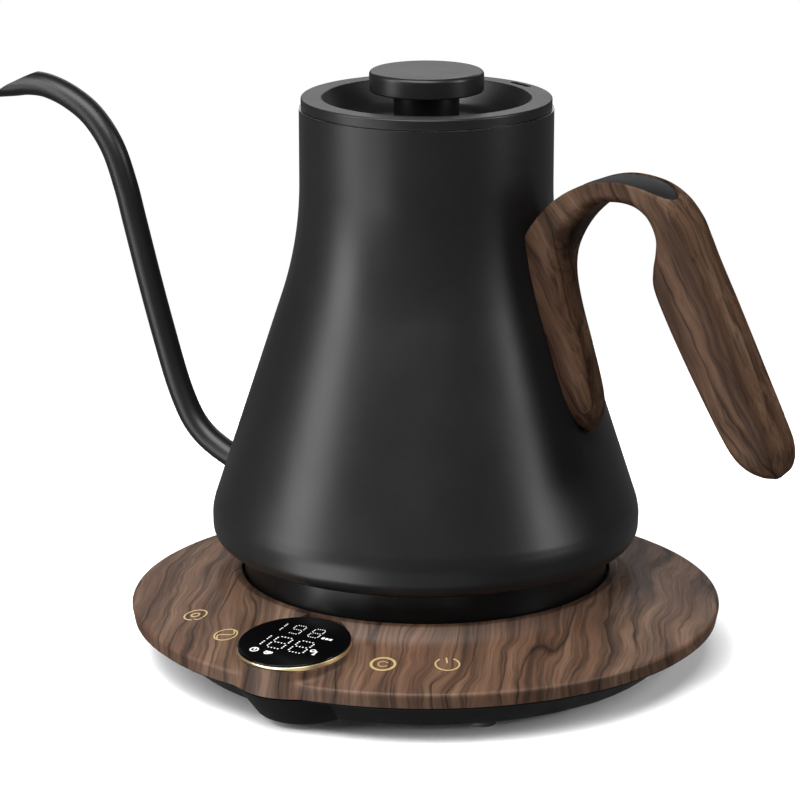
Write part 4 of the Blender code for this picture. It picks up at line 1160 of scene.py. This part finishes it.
def lid():
    """Dished cap, mushroom knob, plug, seal and inner plate."""
    foot = BODY_TOP + 0.3
    cap = rounded([
        (LID_RADIUS, foot, 0.15), (LID_RADIUS, LID_TOP, 0.6), (33.0, LID_TOP, 0.7),
        (27.5, DISH_LEVEL, 3.5), (3.0, DISH_LEVEL), (3.0, DISH_LEVEL - 1.4),
        (27.0, DISH_LEVEL - 1.4), (32.2, foot), (37.5, foot), (37.5, foot - 0.6),
        (38.7, foot - 0.6, 0.2), (38.7, foot)], 8)
    mesh = boolean(lathe(cap, even_angles(192)), [slot_prism(36.3, BODY_TOP - 1.0, LID_TOP + 2.0)])
    add("lid_dish", mesh, POWDER, "lid", "lid_cap")

    top = KNOB_HIGH.z
    cap_foot = 184.3
    turned("knob", rounded([
        (2.0, KNOB_LOW.z), (10.3, KNOB_LOW.z), (10.3, cap_foot, 0.8), (18.0, cap_foot, 0.6),
        (18.0, top, 1.3), (0.0, top), (0.0, cap_foot), (2.0, cap_foot)]),
        POWDER, "lid", "lid_knob", 160)

    plug = rounded([
        (3.0, 163.6), (35.6, 163.6, 0.8), (35.6, 168.6, 0.2), (35.0, 168.6), (35.0, 172.4),
        (36.6, 172.4, 0.2), (36.6, 178.8, 0.3), (34.6, 178.8, 0.3), (34.6, 172.4), (3.0, 172.4)], 4)
    mesh = boolean(lathe(plug, even_angles(160)), [slot_prism(31.0, 160.0, 175.0)])
    add("plug", mesh, BLACK, "lid", "lid_plug")
    turned("seal", rounded([(35.3, 169.0), (37.4, 169.0, 0.2), (38.6, 170.5, 0.4), (37.4, 172.0, 0.2),
                            (35.3, 172.0)], 4), SILICONE, "lid", "lid_gasket", 160)
    turned("inner_plate", rounded([(3.0, 162.3), (34.0, 162.3, 0.3), (34.0, 163.3, 0.3),
                                   (3.0, 163.3)], 4), STEEL, "lid", "lid_inner_plate", 160)


# ---------------------------------------------------------------- carried-over nodes

def repaint():
    """Procedural finishes for the CAD nodes that stay as they are."""
    finishes = {"display_carrier": BLACK, "display_board": GREEN, "panel_board": GREEN,
                "control_board": GREEN, "relay": GREY, "smoothing_capacitor": BLUE, "buzzer": BLACK,
                "heating_element": STEEL, "handle_bracket": STEEL, "handle_screw_upper": STEEL,
                "handle_screw_lower": STEEL}
    finishes.update({f"touch_spring_{number}": STEEL for number in range(1, 5)})
    for name, material in finishes.items():
        data = frame["nodes"][name].data
        data.materials.clear()
        data.materials.append(material)


# ---------------------------------------------------------------- stage

BELOW_LIGHT = 0.2
ABOVE_LIGHT = 0.03
FADE_START = 0.27
FADE_END = 0.42


def floor():
    """A pale disc that fades into the backdrop away from the kettle."""
    mesh = bmesh.new()
    bmesh.ops.create_circle(mesh, cap_ends=True, segments=96, radius=FADE_END)
    plane = new_object("floor", mesh_data("floor", mesh))
    finish = Finish("pale_floor", (1.0, 1.0, 1.0), 0.9, specular=0.1)
    reach = finish.node("ShaderNodeVectorMath", {0: finish.place()},
                        operation="LENGTH").outputs["Value"]
    blend = finish.node("ShaderNodeMixShader", {
        "Fac": finish.range(reach, FADE_START, FADE_END), 1: finish.shader.outputs[0],
        2: finish.node("ShaderNodeBsdfTransparent").outputs[0]})
    finish.links.new(blend.outputs[0], finish.nodes["Material Output"].inputs["Surface"])
    plane.data.materials.append(finish.material)
    plane.visible_glossy = False
    plane.visible_diffuse = False
    plane.visible_shadow = False


# Name, azimuth and elevation in degrees, distance, width and height in metres, power in watts
LIGHTS = [
    ("key_left", -42.0, 19.0, 1.3, 0.5, 1.2, 17.0),
    ("strip_right", 101.0, 23.0, 1.3, 0.28, 0.9, 11.5),
    ("low_right", 98.0, -10.0, 1.3, 0.2, 0.3, 0.15),
    ("overhead", 8.0, 60.0, 1.5, 1.5, 1.0, 56.0),
    ("behind", 208.0, 24.0, 1.6, 1.6, 0.5, 4.4),
    ("low_front", 24.0, -28.0, 1.3, 1.4, 0.22, 1.3),
    ("low_left", -24.0, -24.0, 1.3, 0.9, 0.6, 11.0),
]


def area_light(name, azimuth, elevation, distance, width, height, power):
    """A soft box that looks at the kettle; azimuth 0 is in front, and it grows towards the handle."""
    light = bpy.data.lights.new(name, "AREA")
    light.shape = "RECTANGLE"
    light.size = width
    light.size_y = height
    light.energy = power
    lamp = new_object(name, light)
    turn = math.radians(azimuth)
    rise = math.radians(elevation)
    away = Vector((math.sin(turn) * math.cos(rise), -math.cos(turn) * math.cos(rise), math.sin(rise)))
    target = AXIS * MM + Vector((0.0, 0.0, 0.1))
    lamp.location = target + away * distance
    lamp.rotation_euler = (-away).to_track_quat("-Z", "Y").to_euler()
    lamp.visible_camera = False


def world():
    """White where the camera looks past the kettle; dim above and a little brighter below."""
    room = bpy.data.worlds.new("studio")
    tree = Tree(room)
    tree.nodes.clear()
    direction = tree.node("ShaderNodeTexCoord").outputs["Generated"]
    rise = tree.node("ShaderNodeSeparateXYZ", {0: direction}).outputs["Z"]
    strength = tree.range(rise, -0.15, 0.15, BELOW_LIGHT, ABOVE_LIGHT)
    dim = tree.node("ShaderNodeBackground", {"Strength": strength}).outputs[0]
    white = tree.node("ShaderNodeBackground", {"Color": (1.0, 1.0, 1.0, 1.0)}).outputs[0]
    seen = tree.node("ShaderNodeLightPath").outputs["Is Camera Ray"]
    blend = tree.node("ShaderNodeMixShader", {0: seen, 1: dim, 2: white}).outputs[0]
    tree.node("ShaderNodeOutputWorld", {"Surface": blend})
    bpy.context.scene.world = room


VIEWPOINT = Vector((559.16, -946.70, 388.68))
VIEW_AZIMUTH = math.radians(31.0)
VIEW_PITCH = math.radians(15.498)
FOCAL_LENGTH = 160.46
SENSOR_WIDTH = 36.0


def camera():
    """Seen from the right of the display, a little above."""
    lens = bpy.data.cameras.new("camera")
    lens.lens = FOCAL_LENGTH
    lens.sensor_width = SENSOR_WIDTH
    view = new_object("camera", lens)
    view.location = (AXIS + VIEWPOINT) * MM
    level = math.cos(VIEW_PITCH)
    forward = Vector((-math.sin(VIEW_AZIMUTH) * level, math.cos(VIEW_AZIMUTH) * level,
                      -math.sin(VIEW_PITCH)))
    view.rotation_euler = forward.to_track_quat("-Z", "Y").to_euler()
    bpy.context.scene.camera = view


camera()
floor()
world()
for settings in LIGHTS:
    area_light(*settings)
bpy.context.scene.view_settings.view_transform = "Standard"

base_cover()
base_dish()
display()
display_digits()
icons()
feet_and_gland()
screws()
connectors()
kettle_shell()
kettle_underside()
spout()
handle()
lid()
repaint()
